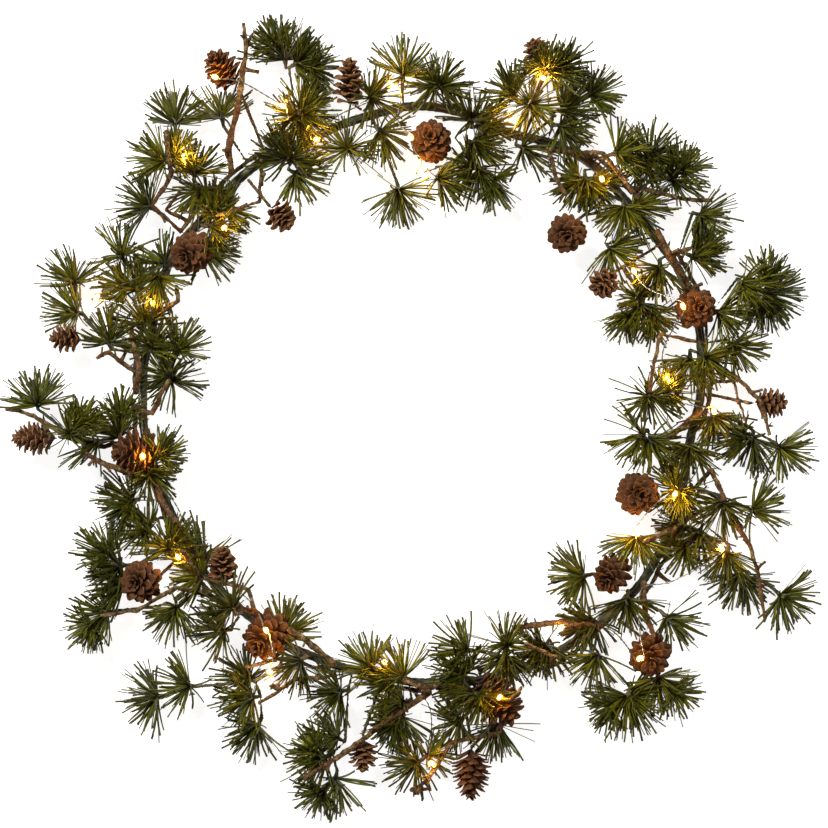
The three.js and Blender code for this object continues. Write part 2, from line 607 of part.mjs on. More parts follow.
// The twigs: each branch starts on its own tree and rises quickly to its height.
Object.entries(TWIGS).forEach(([name, branches]) => {
  const tree = twigTrees[name];
  branches.forEach(({ width, line }) => {
    const last = line.length - 1;
    const rough = line.map((point, i) => {
      const share = Math.sqrt((i + 0.3) / (last + 0.3));
      return place(point, THREE.MathUtils.lerp(TWIG_HEIGHT.root, TWIG_HEIGHT.tip, share));
    });
    const radii = [null, ...rough].map((_, i) => {
      const share = i / rough.length;
      return (THREE.MathUtils.lerp(width[0], width[1], share) * MM_PER_POINT) / 2;
    });
    radii[0] = Math.min(radii[0], STRAND_RADIUS);
    const settled = branchOut(tree, rough, radii, (k) => k > 0);
    grow(tree, settled, radii);
    tree.solids.push(tube(settled, radii, 4));
  });
  addPiece(name, join(tree.solids), PAINT.twig);
});

// The string of lights: each light is a drop on the wire, and the wire dips between them.
const lightDrops = LIGHTS.map((point, i) => {
  const before = place(LIGHTS[Math.max(0, i - 1)], 0);
  const after = place(LIGHTS[Math.min(LIGHTS.length - 1, i + 1)], 0);
  const along = after.sub(before).setLength(LIGHT_RADIUS * LIGHT_STRETCH);
  for (let height = LIGHT_HEIGHT; ; height += 1) {
    const middle = place(point, height);
    const ends = [middle.clone().sub(along), middle.clone().add(along)];
    const [drop] = links("light_string", ends, [LIGHT_RADIUS, LIGHT_RADIUS]);
    if (isClear(drop)) return { middle, ends };
  }
});
const wireLine = [];
const wireRadii = [];
lightDrops.forEach(({ middle, ends }, i) => {
  if (i > 0) {
    const from = wireLine[wireLine.length - 1];
    const isShort = from.distanceTo(ends[0]) < SHORT_WIRE;
    const dips = (isShort ? [0.5] : [0.3, 0.7]).map((share) => {
      const between = from.clone().lerp(ends[0], share);
      const onRing = ringCurve.getPointAt(ringShare(between));
      return isShort ? between : between.lerp(onRing, 0.45).setZ(WIRE_HEIGHT);
    });
    const rough = [from, ...dips, ends[0]];
    const isDip = (k) => k > 0 && k < rough.length - 1;
    const line = settle("light_string", rough, rough.map(() => WIRE_RADIUS), isDip) || rough;
    if (line === rough) unsettled.push("light_string before light " + (i + 1));
    wireLine.push(...line.slice(1, -1));
    wireRadii.push(...dips.map(() => WIRE_RADIUS));
  }
  wireLine.push(ends[0], middle, ends[1]);
  wireRadii.push(WIRE_RADIUS, LIGHT_RADIUS, WIRE_RADIUS);
  keepInSight(middle, LIGHT_RADIUS);
});
links("light_string", wireLine, wireRadii)
  .forEach((link) => keep("light_string", link.a, link.b, link.radiusA, link.radiusB));
addPiece("light_string", tube(wireLine, wireRadii, 4), PAINT.light);

// A tuft's core: a twenty-sided solid turned with a face forwards, its sides drawn towards the front.
const coreGeometry = new THREE.IcosahedronGeometry(1, 0);
coreGeometry.deleteAttribute("normal");
coreGeometry.deleteAttribute("uv");
const core = mergeVertices(coreGeometry);
const coreCorners = [];
for (let i = 0; i < core.attributes.position.count; i++) {
  coreCorners.push(new THREE.Vector3().fromBufferAttribute(core.attributes.position, i));
}
const coreSides = [];
for (let i = 0; i < core.index.count; i += 3) coreSides.push([...core.index.array.slice(i, i + 3)]);
const middleOf = (corners) => corners
  .reduce((sum, p) => sum.add(p), new THREE.Vector3()).divideScalar(corners.length);
const faceForwards = new THREE.Quaternion().setFromUnitVectors(
  middleOf(coreSides[0].map((k) => coreCorners[k])).normalize(), UP,
);
const DRAWN_FORWARDS = 0.8; // the share of its angle from the front that a corner keeps
const BACK_SIDE = -0.2; // sides that face further back than this have no needle
const coreShape = coreCorners.map((corner) => {
  const p = corner.clone().applyQuaternion(faceForwards);
  const polar = Math.acos(p.z) * DRAWN_FORWARDS;
  const turn = Math.atan2(p.y, p.x);
  const out = Math.sin(polar);
  return new THREE.Vector3(out * Math.cos(turn), out * Math.sin(turn), Math.cos(polar));
});

const hole = {
  low: place([HOLE.left, HOLE.bottom], 0),
  high: place([HOLE.right, HOLE.top], 0),
};
const isInHole = (p) => p.x > hole.low.x && p.x < hole.high.x && p.y > hole.low.y && p.y < hole.high.y;

// A needle from a tuft's middle: the first of its turns and lengths that clears everything.
const NEEDLE_BASE_RADIUS = 0.75;
const NEEDLE_TIP_RADIUS = 0.05;
const NEEDLE_TURNS = 7;
const NEEDLE_SHARES = [1, 0.8, 0.6];
function needleTip(node, tuft, middle, forwards, length, isFront) {
  for (const share of NEEDLE_SHARES) {
    for (let i = 0; i < NEEDLE_TURNS; i++) {
      const bend = (isFront ? 0 : 0.12) + 0.02 * i;
      const way = forwards.clone()
        .add(new THREE.Vector3(draw(-bend, bend), draw(-bend, bend), draw(-bend, bend))).normalize();
      const tip = middle.clone().addScaledVector(way, length * share * (isFront ? 1 : draw(0.9, 1.04)));
      const root = middle.clone().addScaledVector(way, TUFT_CORE_RADIUS);
      const half = root.clone().lerp(tip, 0.6);
      const [link] = links(node, [root, tip], [NEEDLE_BASE_RADIUS, NEEDLE_TIP_RADIUS]);
      const needle = { ...link, tuft };
      const isSeenThrough = inSight.every((line) => clearance(needle, line) > 0);
      if (isSeenThrough && !isInHole(tip) && !isInHole(half) && isClear(needle, true)) {
        keep(node, root, tip, NEEDLE_BASE_RADIUS, NEEDLE_TIP_RADIUS, tuft);
        return tip;
      }
    }
  }
  return null;
}

// Runs a triangle of points on along a line, and closes it at the end.
function stemTriangles(points, side, line, aim) {
  const triangles = [];
  let ring = side;
  let facing = aim.clone().negate();
  let outs = side.map((k) => points[k].clone().sub(line[0]).projectOnPlane(facing));
  for (let i = 1; i < line.length; i++) {
    const along = line[i].clone().sub(line[i - 1]).normalize();
    const next = i + 1 < line.length ? line[i + 1].clone().sub(line[i]).normalize() : along;
    const turn = along.clone().add(next).normalize();
    const swing = new THREE.Quaternion().setFromUnitVectors(facing, turn);
    const radius = i === line.length - 1 ? ROOT_RADIUS : STEM_RADIUS;
    outs = outs.map((out) => out.applyQuaternion(swing).setLength(radius));
    facing = turn;
    const grown = outs.map((out) => points.push(line[i].clone().add(out)) - 1);
    ring.forEach((a, k) => {
      const b = ring[(k + 1) % 3];
      triangles.push([a, b, grown[(k + 1) % 3]], [a, grown[(k + 1) % 3], grown[k]]);
    });
    ring = grown;
  }
  return [...triangles, ring];
}

// A tuft: its core with each side but the back raised into a three-sided needle.
// The back side runs on as a three-sided stem.
function tuftSolid({ node, label, middle, aim, length, stem }) {
  const corners = turned(coreShape, aim, middle, draw(0, 2)).map((p) => p.sub(middle));
  const points = corners.map((p) => middle.clone().addScaledVector(p, TUFT_CORE_RADIUS));
  const triangles = [];
  coreSides.forEach((side) => {
    const forwards = middleOf(side.map((k) => corners[k])).normalize();
    const facing = forwards.dot(aim);
    if (facing < -0.99) {
      triangles.push(...stemTriangles(points, side, [middle, ...stem], aim));
      return;
    }
    const tip = facing > BACK_SIDE ? needleTip(node, label, middle, forwards, length, facing > 0.99) : null;
    if (!tip) {
      triangles.push(side);
      return;
    }
    const [a, b, c] = side;
    const top = points.push(tip) - 1;
    triangles.push([a, b, top], [b, c, top], [c, a, top]);
  });
  return solid(points, triangles);
}

// The sprays: first every stem and core, then the needles, which turn away from what is there.
const NEEDLE_POINTS = 44; // a needle's length in points of the picture, seen from the side
const LOWEST_STEM = SURFACE_GAP + STEM_RADIUS + 0.3;
const TUFT_SPACING = TUFT_CORE_RADIUS * 2.6;
const HEIGHT_TRIES = 60;
const STEM_RADII = [TUFT_CORE_RADIUS * 0.95, STEM_RADIUS, STEM_RADIUS, STEM_RADIUS];
const tufts = [];
Object.entries(SPRAYS).forEach(([name, rows]) => {
  const tree = sprayTrees[name];
  const strandMiddle = tree.lines[0][2];
  const fromStrand = (at) => place(at, 0).distanceTo(strandMiddle);
  rows.map(([x, y, tipX, tipY], i) => {
    const reach = Math.hypot(tipX - x, tipY - y);
    const rise = THREE.MathUtils.radToDeg(Math.acos(Math.min(1, reach / NEEDLE_POINTS)));
    const way = THREE.MathUtils.radToDeg(Math.atan2(y - tipY, tipX - x));
    const length = Math.max(NEEDLE_LENGTH, reach * MM_PER_POINT);
    const aim = direction(way, rise);
    const height = TUFT_HEIGHT.low + draw(0, TUFT_HEIGHT.spread) + TUFT_HEIGHT.upright * aim.z;
    return { label: name + "/" + i, at: [x, y], aim, length, height };
  })
    .sort((p, q) => fromStrand(p.at) - fromStrand(q.at))
    .forEach((tuft) => {
      let middle = place(tuft.at, tuft.height);
      for (let i = 0; i < HEIGHT_TRIES; i++) {
        const height = tuft.height + (i % 2 ? 1 : -1) * Math.ceil(i / 2);
        middle = place(tuft.at, Math.max(TUFT_HEIGHT.least, height));
        const [ball] = links(name, [middle, middle], [TUFT_CORE_RADIUS, TUFT_CORE_RADIUS]);
        const isApart = tufts.every((other) => other.middle.distanceTo(middle) > TUFT_SPACING);
        if (isApart && isClear(ball)) break;
      }
      const behind = middle.clone().addScaledVector(tuft.aim, -STEM_TURN);
      behind.z = Math.max(behind.z, LOWEST_STEM);
      const start = nearestOn(tree, behind);
      const straight = [middle, behind, start];
      const ahead = [middle.clone().add(tuft.aim)];
      const isFreeWay = links(name, straight, STEM_RADII).every((link) => isClear(link));
      let line = isFreeWay && isGentle([...ahead, ...straight]) ? straight : null;
      for (let i = 0; !line && i < ROOT_TRIES; i++) {
        const beside = new THREE.Vector3(draw(-i, i), draw(-i, i), 0).multiplyScalar(ROOT_STEP);
        const root = nearestOn(tree, behind.clone().add(beside));
        const bent = [middle, behind, behind.clone().lerp(root, 0.45), root];
        line = settle(name, bent, STEM_RADII, (k) => k === 1 || k === 2, ahead);
      }
      if (!line) {
        unsettled.push(tuft.label);
        line = straight;
      }
      grow(tree, line, STEM_RADII, tuft.label);
      keep(name, middle, middle, TUFT_CORE_RADIUS, TUFT_CORE_RADIUS, tuft.label);
      tufts.push({ ...tuft, node: name, middle, stem: line.slice(1) });
    });
});
tufts.forEach((tuft) => sprayTrees[tuft.node].solids.push(tuftSolid(tuft)));
Object.entries(sprayTrees).forEach(([name, tree]) => {
  addPiece(name, join(tree.solids), PAINT.needle);
});

if (unsettled.length) throw new Error("these still touch another piece: " + unsettled.join("; "));

// The origin is under the middle of the whole wreath's box.
const wholeBox = new THREE.Box3().setFromObject(wreath);
const wholeMiddle = wholeBox.getCenter(new THREE.Vector3());
wreath.position.set(-wholeMiddle.x, -wholeMiddle.y, -wholeBox.min.z);

export default wreath;
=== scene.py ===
# Larch wreath: moulded needles, taped stems, bark twigs, cones and a lit string of lights.
import json
import math
import random

import bmesh
import bpy
from mathutils import Matrix, Vector


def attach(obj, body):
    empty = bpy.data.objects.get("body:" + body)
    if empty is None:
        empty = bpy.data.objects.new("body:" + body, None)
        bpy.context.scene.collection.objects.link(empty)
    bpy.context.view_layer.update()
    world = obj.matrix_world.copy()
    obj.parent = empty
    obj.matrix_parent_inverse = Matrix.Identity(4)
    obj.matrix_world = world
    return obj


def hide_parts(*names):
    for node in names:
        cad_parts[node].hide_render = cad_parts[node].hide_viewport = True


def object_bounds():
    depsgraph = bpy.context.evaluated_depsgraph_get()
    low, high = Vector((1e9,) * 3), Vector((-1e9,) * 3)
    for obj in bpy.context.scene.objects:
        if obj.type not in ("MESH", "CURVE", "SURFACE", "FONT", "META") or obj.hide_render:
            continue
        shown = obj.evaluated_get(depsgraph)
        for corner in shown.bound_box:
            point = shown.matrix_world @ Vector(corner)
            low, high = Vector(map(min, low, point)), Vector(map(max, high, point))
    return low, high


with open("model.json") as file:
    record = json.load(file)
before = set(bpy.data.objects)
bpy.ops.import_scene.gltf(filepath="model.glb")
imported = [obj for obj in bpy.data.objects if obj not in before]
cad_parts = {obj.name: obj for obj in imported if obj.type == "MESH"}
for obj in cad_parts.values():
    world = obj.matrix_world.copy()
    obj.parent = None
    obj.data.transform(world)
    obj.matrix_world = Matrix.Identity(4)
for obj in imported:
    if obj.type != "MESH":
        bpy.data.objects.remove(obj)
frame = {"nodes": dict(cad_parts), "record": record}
cad_low, cad_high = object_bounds()

MM = 0.001
UP = Vector((0, 0, 1))
SPRAY_NODES, TWIG_NODES, CONE_NODES = (
    [name for name in sorted(frame["nodes"]) if name.startswith(start)]
    for start in ("needle_spray_", "twig_", "cone_")
)


def new_object(name, data):
    thing = bpy.data.objects.new(name, data)
    bpy.context.scene.collection.objects.link(thing)
    return thing


# The camera: straight above the wreath, as far away as the photograph's eye was.
EYE_HEIGHT = 2400 * MM
VIEW_CENTRE = (3.0 * MM, 1.7 * MM)
VIEW_SPAN = 509.2 * MM
SENSOR = 36.0


def add_camera():
    data = bpy.data.cameras.new("eye")
    data.sensor_width = SENSOR
    data.lens = SENSOR * EYE_HEIGHT / VIEW_SPAN
    data.clip_start = 0.05
    data.clip_end = 50
    camera = new_object("eye", data)
    camera.location = (*VIEW_CENTRE, EYE_HEIGHT)
    bpy.context.scene.camera = camera


add_camera()


# Node trees: the same few helpers build the geometry trees and the finishes.
def add(tree, kind, inputs=None, **settings):
    """A node with its settings, and its inputs linked where a socket is given and set otherwise."""
    node = tree.nodes.new(kind)
    for name, value in settings.items():
        setattr(node, name, value)
    for name, value in (inputs or {}).items():
        if isinstance(value, bpy.types.NodeSocket):
            tree.links.new(value, node.inputs[name])
        else:
            node.inputs[name].default_value = value
    return node


def calc(tree, operation, a, b=0.0):
    return add(tree, "ShaderNodeMath", {0: a, 1: b}, operation=operation).outputs[0]


def times(tree, a, b):
    return calc(tree, "MULTIPLY", a, b)


def scaled(tree, vector, amount):
    node = add(tree, "ShaderNodeVectorMath", {0: vector, "Scale": amount}, operation="SCALE")
    return node.outputs["Vector"]


def xyz(tree, x=0.0, y=0.0, z=0.0):
    return add(tree, "ShaderNodeCombineXYZ", {"X": x, "Y": y, "Z": z}).outputs[0]


def noise_at(tree, place, scale, detail=2.0, output="Fac"):
    values = {"Vector": place, "Scale": scale, "Detail": detail}
    return add(tree, "ShaderNodeTexNoise", values).outputs[output]


def swing(tree, share, amount):
    """A share from 0 to 1 made to swing about nothing, over an amount."""
    return times(tree, calc(tree, "SUBTRACT", share, 0.5), amount)


def moved(tree, shape, offset):
    return add(tree, "GeometryNodeSetPosition", {"Geometry": shape, "Offset": offset}).outputs[0]


def copies_on(tree, points, shape, turned, size):
    """A copy of a shape on each point, turned and sized."""
    inputs = {"Points": points, "Instance": shape, "Rotation": turned, "Scale": size}
    return add(tree, "GeometryNodeInstanceOnPoints", inputs).outputs[0]


def spun(tree, turned, angle):
    """A rotation turned further by an angle about its own z axis."""
    spin = add(tree, "FunctionNodeAxisAngleToRotation", {"Axis": (0, 0, 1), "Angle": angle}).outputs[0]
    inputs = {"Rotation": turned, "Rotate By": spin}
    return add(tree, "FunctionNodeRotateRotation", inputs, rotation_space="LOCAL").outputs[0]


def along_aim(tree):
    """The rotation that turns the z axis to a point's aim."""
    inputs = {"Vector": attribute(tree, "aim", "FLOAT_VECTOR")}
    return add(tree, "FunctionNodeAlignRotationToVector", inputs, axis="Z").outputs[0]


def tube_along(tree, line, section):
    inputs = {"Curve": line, "Profile Curve": section, "Fill Caps": True}
    return add(tree, "GeometryNodeCurveToMesh", inputs).outputs[0]


def geometry_tree(name, inputs):
    """A geometry tree with named inputs and a finish: gives the tree and its inputs by name."""
    tree = bpy.data.node_groups.new(name, "GeometryNodeTree")
    tree.is_modifier = True
    shape = "NodeSocketGeometry"
    tree.interface.new_socket("Geometry", in_out="INPUT", socket_type=shape)
    for label, value in inputs.items():
        kind = "NodeSocketInt" if isinstance(value, int) else "NodeSocketFloat"
        tree.interface.new_socket(label, in_out="INPUT", socket_type=kind).default_value = value
    tree.interface.new_socket("Material", in_out="INPUT", socket_type="NodeSocketMaterial")
    tree.interface.new_socket("Geometry", in_out="OUTPUT", socket_type=shape)
    return tree, tree.nodes.new("NodeGroupInput").outputs


def end_tree(tree, given, shape):
    """Ends a tree in plain smooth faces with their finish."""
    real = add(tree, "GeometryNodeRealizeInstances", {"Geometry": shape}).outputs[0]
    smooth = add(tree, "GeometryNodeSetShadeSmooth", {"Geometry": real}).outputs[0]
    inputs = {"Geometry": smooth, "Material": given["Material"]}
    done = add(tree, "GeometryNodeSetMaterial", inputs).outputs[0]
    tree.links.new(done, tree.nodes.new("NodeGroupOutput").inputs[0])


def attribute(tree, name, kind="FLOAT"):
    return add(tree, "GeometryNodeInputNamedAttribute", {"Name": name}, data_type=kind).outputs[0]


def store(tree, shape, name, value):
    node = add(tree, "GeometryNodeStoreNamedAttribute",
               {"Geometry": shape, "Name": name, "Value": value}, data_type="FLOAT")
    return node.outputs[0]


def baked(thing):
    """Turns an object's evaluated result into its plain mesh, and drops its modifiers."""
    depsgraph = bpy.context.evaluated_depsgraph_get()
    result = thing.evaluated_get(depsgraph)
    mesh = bpy.data.meshes.new_from_object(result, preserve_all_data_layers=True, depsgraph=depsgraph)
    if thing.type == "MESH":
        thing.modifiers.clear()
        thing.data = mesh
        return thing
    name = thing.name
    bpy.data.objects.remove(thing)
    return new_object(name, mesh)


def grown(thing, tree, **values):
    """Runs a node tree on an object, with the tree's inputs given by name, and keeps the result."""
    modifier = thing.modifiers.new(tree.name, "NODES")
    modifier.node_group = tree
    for item in tree.interface.items_tree:
        if item.item_type == "SOCKET" and item.in_out == "INPUT" and item.name in values:
            modifier[item.identifier] = values[item.name]
    return baked(thing)


def mesh_of(name, places, faces=(), **columns):
    """A mesh, with the numbers and vectors that the columns give its points."""
    mesh = bpy.data.meshes.new(name)
    mesh.from_pydata(places, [], faces)
    for label, values in columns.items():
        if isinstance(values[0], Vector):
            column = mesh.attributes.new(label, "FLOAT_VECTOR", "POINT")
            column.data.foreach_set("vector", [x for value in values for x in value])
        else:
            mesh.attributes.new(label, "FLOAT", "POINT").data.foreach_set("value", values)
    return mesh


def faced_outwards(mesh):
    """A closed mesh with its faces turned outwards."""
    shape = bmesh.new()
    shape.from_mesh(mesh)
    bmesh.ops.recalc_face_normals(shape, faces=shape.faces)
    shape.to_mesh(mesh)
    shape.free()
    return mesh


def tube_faces(rings, sides):
    """The faces between each ring of a tube and the next."""
    ahead = [(i * sides + k, i * sides + (k + 1) % sides) for i in range(rings - 1) for k in range(sides)]
    return [(a, b, b + sides, a + sides) for a, b in ahead]


def kept(piece, material_slot, *nodes):
    """A finished piece: it rides with the wreath and stands for its nodes, which are hidden."""
    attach(piece, "root")
    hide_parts(*nodes)


# Finishes.
def finish(name, roughness, metallic=0.0, specular=0.5):
    material = bpy.data.materials.new(name)
    material.use_nodes = True
    tree = material.node_tree
    tree.nodes.clear()
    values = {"Roughness": roughness, "Metallic": metallic, "Specular IOR Level": specular}
    shader = add(tree, "ShaderNodeBsdfPrincipled", values)
    add(tree, "ShaderNodeOutputMaterial", {"Surface": shader.outputs[0]})
    return material, tree, shader


def position(tree):
    return add(tree, "ShaderNodeTexCoord").outputs["Object"]


def noise(tree, scale, detail=3.0):
    """A noise in the object's own space, its scale in waves a metre."""
    return noise_at(tree, position(tree), scale, detail)


def ramp(tree, value, stops):
    node = add(tree, "ShaderNodeValToRGB", {"Fac": value})
    while len(node.color_ramp.elements) < len(stops):
        node.color_ramp.elements.new(0.5)
    for element, (place, colour) in zip(node.color_ramp.elements, stops):
        element.position = place
        element.color = (*colour, 1)
    return node.outputs["Color"]


def spread(tree, value, low, high):
    """The share of the way from low to high."""
    return add(tree, "ShaderNodeMapRange", {"Value": value, "From Min": low, "From Max": high}).outputs[0]


def blend(tree, share, a, b):
    node = add(tree, "ShaderNodeMix", data_type="RGBA")
    for socket, value in ((node.inputs[0], share), (node.inputs[6], a), (node.inputs[7], b)):
        if isinstance(value, bpy.types.NodeSocket):
            tree.links.new(value, socket)
        else:
            socket.default_value = value if isinstance(value, float) else (*value, 1)
    return node.outputs[2]


def bump(tree, shader, height, distance):
    node = add(tree, "ShaderNodeBump", {"Height": height, "Distance": distance, "Strength": 1.0})
    tree.links.new(node.outputs[0], shader.inputs["Normal"])


def paint(tree, shader, colour):
    tree.links.new(colour, shader.inputs["Base Color"])


def mesh_attribute(tree, name):
    return add(tree, "ShaderNodeAttribute", attribute_name=name).outputs["Fac"]


def needle_finish():
    """Soft moulded plastic: dark green to olive from needle to needle, darker at the tip, with painted shade
    darkening the root where the needles crowd in the tuft's middle.
    """
    material, tree, shader = finish("moulded_needle", 0.38, specular=0.4)
    along = mesh_attribute(tree, "along")
    colour = ramp(tree, mesh_attribute(tree, "tint"), [
        (0.0, (0.006, 0.011, 0.002)), (0.35, (0.028, 0.041, 0.003)),
        (0.75, (0.086, 0.098, 0.006)), (1.0, (0.170, 0.165, 0.012)),
    ])
    patch = spread(tree, noise(tree, 55.0), 0.4, 0.75)
    colour = blend(tree, patch, colour, (0.085, 0.088, 0.006))
    # Painted shade: each needle darkens towards its root, where the tuft's needles crowd together.
    colour = blend(tree, spread(tree, along, 0.28, 0.02), colour, (0.005, 0.007, 0.002))
    tip = times(tree, spread(tree, along, 0.66, 1.0), 0.75)
    colour = blend(tree, tip, colour, (0.020, 0.017, 0.006))
    paint(tree, shader, colour)
    shader.inputs["Specular Tint"].default_value = (0.9, 1.0, 0.45, 1)
    bump(tree, shader, noise(tree, 1600.0), 0.00008)
    return material


def tape_finish():
    """Waxed paper tape: dark green, paler in patches, browned in places."""
    material, tree, shader = finish("florist_tape", 0.5, specular=0.2)
    colour = ramp(tree, noise(tree, 210.0), [
        (0.3, (0.008, 0.011, 0.004)), (0.52, (0.024, 0.031, 0.011)), (0.70, (0.078, 0.085, 0.042)),
    ])
    bare = spread(tree, noise(tree, 30.0), 0.50, 0.62)
    colour = blend(tree, bare, colour, (0.078, 0.054, 0.025))
    paint(tree, shader, colour)
    bump(tree, shader, noise(tree, 900.0, 4.0), 0.0002)
    return material


def bark_finish():
    """Moulded bark: grey-brown, redder in patches, with fine cracks."""
    material, tree, shader = finish("moulded_bark", 0.78, specular=0.25)
    colour = ramp(tree, noise(tree, 240.0, 5.0), [
        (0.34, (0.018, 0.009, 0.003)), (0.5, (0.080, 0.047, 0.017)), (0.66, (0.190, 0.130, 0.060)),
    ])
    red = times(tree, spread(tree, noise(tree, 26.0), 0.5, 0.62), 0.7)
    colour = blend(tree, red, colour, (0.110, 0.036, 0.010))
    cracks = add(tree, "ShaderNodeTexVoronoi", {"Vector": position(tree), "Scale": 420.0},
                 feature="DISTANCE_TO_EDGE").outputs["Distance"]
    dark = spread(tree, cracks, 0.09, 0.0)
    colour = blend(tree, times(tree, dark, 0.6), colour, (0.030, 0.018, 0.013))
    paint(tree, shader, colour)
    height = calc(tree, "ADD", spread(tree, cracks, 0.0, 0.12), noise(tree, 700.0))
    bump(tree, shader, height, 0.0005)
    return material


def cone_finish():
    """Dry cone scales: matt brown, with painted shade darkening them towards their feet, and paler at their
    rims, partly their own paler edge and partly painted highlight.
    """
    material, tree, shader = finish("dry_cone", 0.82, specular=0.2)
    colour = ramp(tree, mesh_attribute(tree, "tint"), [
        (0.0, (0.058, 0.022, 0.007)), (0.35, (0.097, 0.038, 0.012)), (0.65, (0.160, 0.069, 0.025)),
        (1.0, (0.255, 0.127, 0.056)),
    ])
    colour = blend(tree, times(tree, noise(tree, 340.0), 0.5), colour, (0.136, 0.049, 0.013))
    rim = mesh_attribute(tree, "rim")
    # Painted shade: the scales darken towards their feet, in the hollows where they overlap.
    painted_shade_inside = times(tree, spread(tree, rim, 0.72, 0.2), 0.9)
    colour = blend(tree, painted_shade_inside, colour, (0.012, 0.004, 0.001))
    # Paler rims: partly the scales' own paler edge, partly painted highlight where the thin rims catch the
    # light.
    rim_wear_and_highlight = times(tree, spread(tree, rim, 0.84, 0.97), 0.7)
    colour = blend(tree, rim_wear_and_highlight, colour, (0.300, 0.175, 0.094))
    across = times(tree, mesh_attribute(tree, "across"), 9.0)
    place = xyz(tree, x=across, y=rim, z=times(tree, mesh_attribute(tree, "tint"), 40.0))
    grain = noise_at(tree, place, 1.0, 3.0)
    colour = blend(tree, spread(tree, grain, 0.56, 0.36), colour, (0.030, 0.012, 0.006))
    paint(tree, shader, colour)
    bump(tree, shader, calc(tree, "ADD", grain, noise(tree, 1100.0, 4.0)), 0.00018)
    return material


def wire_finish():
    """Bare silver wire with small dull patches."""
    material, tree, shader = finish("silver_wire", 0.3, metallic=1.0)
    colour = ramp(tree, noise(tree, 500.0), [(0.35, (0.20, 0.19, 0.17)), (0.65, (0.50, 0.49, 0.45))])
    paint(tree, shader, colour)
    return material


def lamp_finish():
    """A lit drop of clear resin: white where it is looked into, amber at its rim."""
    material, tree, shader = finish("lit_drop", 0.15)
    shader.inputs["Base Color"].default_value = (1.0, 0.80, 0.50, 1)
    facing = add(tree, "ShaderNodeLayerWeight", {"Blend": 0.35}).outputs["Facing"]
    glow = ramp(tree, facing, [
        (0.0, (1.0, 0.84, 0.50)), (0.35, (0.70, 0.38, 0.08)), (0.8, (0.20, 0.065, 0.004)),
    ])
    tree.links.new(glow, shader.inputs["Emission Color"])
    shader.inputs["Emission Strength"].default_value = 4.5
    return material


NEEDLE = needle_finish()
TAPE = tape_finish()
BARK = bark_finish()
CONE = cone_finish()
WIRE = wire_finish()
LAMP = lamp_finish()


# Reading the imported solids.
MERGE_DISTANCE = 2e-6


def merged(node):
    """A merged copy of a node's mesh, to read and to reshape."""
    shape = bmesh.new()
    shape.from_mesh(frame["nodes"][node].data)
    bmesh.ops.remove_doubles(shape, verts=shape.verts, dist=MERGE_DISTANCE)
    return shape


CORE_INRADIUS = 1.5 * MM
NEEDLE_FOOT = 3.4 * MM
SHORTEST_NEEDLE = 9 * MM
SAME_TUFT = 2.4 * MM


def needles_of(shape):
    """Each needle of a spray: its point, its foot and the vertex at its point."""
    found = []
    for vert in shape.verts:
        if len(vert.link_edges) != 3:
            continue
        feet = [edge.other_vert(vert).co for edge in vert.link_edges]
        if min((foot - vert.co).length for foot in feet) < SHORTEST_NEEDLE:
            continue
        if max((a - b).length for a in feet for b in feet) < NEEDLE_FOOT:
            found.append((vert.co.copy(), sum(feet, Vector()) / 3, vert))
    return found


def tufts_of(needles):
    """Groups needles by the middle they start from: each tuft has its middle and its needles."""
    tufts = []
    for tip, foot, _ in needles:
        way = (tip - foot).normalized()
        middle = foot - way * CORE_INRADIUS
        near = [t for t in tufts if (t["middle"] - middle).length < SAME_TUFT]
        tuft = near[0] if near else {"middle": middle, "needles": [], "guesses": []}
        if not near:
            tufts.append(tuft)
        tuft["guesses"].append(middle)
        tuft["middle"] = sum(tuft["guesses"], Vector()) / len(tuft["guesses"])
        tuft["needles"].append(tip)
    for tuft in tufts:
        ways = [(tip - tuft["middle"]) for tip in tuft["needles"]]
        tuft["needles"] = [(way.normalized(), way.length) for way in ways]
        tuft["aim"] = sum((way for way, _ in tuft["needles"]), Vector()).normalized()
    return tufts


# A cone's net: its pole has ten edges, and it has four rows of scales, or five where it is longer.
POLE_EDGES = 10
FIVE_ROWS_FROM = 23.5 * MM
NET_DEPTH = 36 * MM
NET_RADII = (4 * MM, 15 * MM)


def cone_shape(node):
    """A cone's tip, axis, length and radius, read from its net: the tip is furthest from its stem's root."""
    shape = merged(node)
    poles = [v for v in shape.verts if len(v.link_edges) == POLE_EDGES]
    pole = max(poles, key=lambda v: max((other.co - v.co).length for other in shape.verts))
    around = sum((e.other_vert(pole).co for e in pole.link_edges), Vector()) / POLE_EDGES
    axis = (pole.co - around).normalized()
    depths = []
    radius = 0.0
    for vert in shape.verts:
        down = pole.co - vert.co
        depth = down.dot(axis)
        out = (down - axis * depth).length
        if depth < NET_DEPTH and NET_RADII[0] < out < NET_RADII[1]:
            depths.append(depth)
            radius = max(radius, out)
    deepest = max(depths)
    rows = 5 if deepest > FIVE_ROWS_FROM else 4
    tip = pole.co.copy()
    shape.free()
    return {"tip": tip, "axis": axis, "length": deepest / (1 - 0.5 / rows), "radius": radius}


def lines_of(node, sides):
    """The centre line and radii of a tube, from the rings of its mesh, end to end."""
    shape = merged(node)
    ends = [v for v in shape.verts if len(v.link_edges) < 6]
    start = min(ends, key=lambda v: (v.co.x, v.co.y))
    ring = sorted(ends, key=lambda v: (v.co - start.co).length)[:sides]
    seen = set(ring)
    line = []
    while ring:
        middle = sum((v.co for v in ring), Vector()) / len(ring)
        line.append((middle, max((v.co - middle).length for v in ring)))
        beyond = {e.other_vert(v) for v in ring for e in v.link_edges} - seen
        seen |= beyond
        ring = list(beyond)
    shape.free()
    return line


CONE_SHAPES = {node: cone_shape(node) for node in CONE_NODES}
STRING = lines_of("light_string", 4)
DROP_RADIUS = 1.5 * MM
DROPS = [i for i, (_, radius) in enumerate(STRING) if radius > DROP_RADIUS]


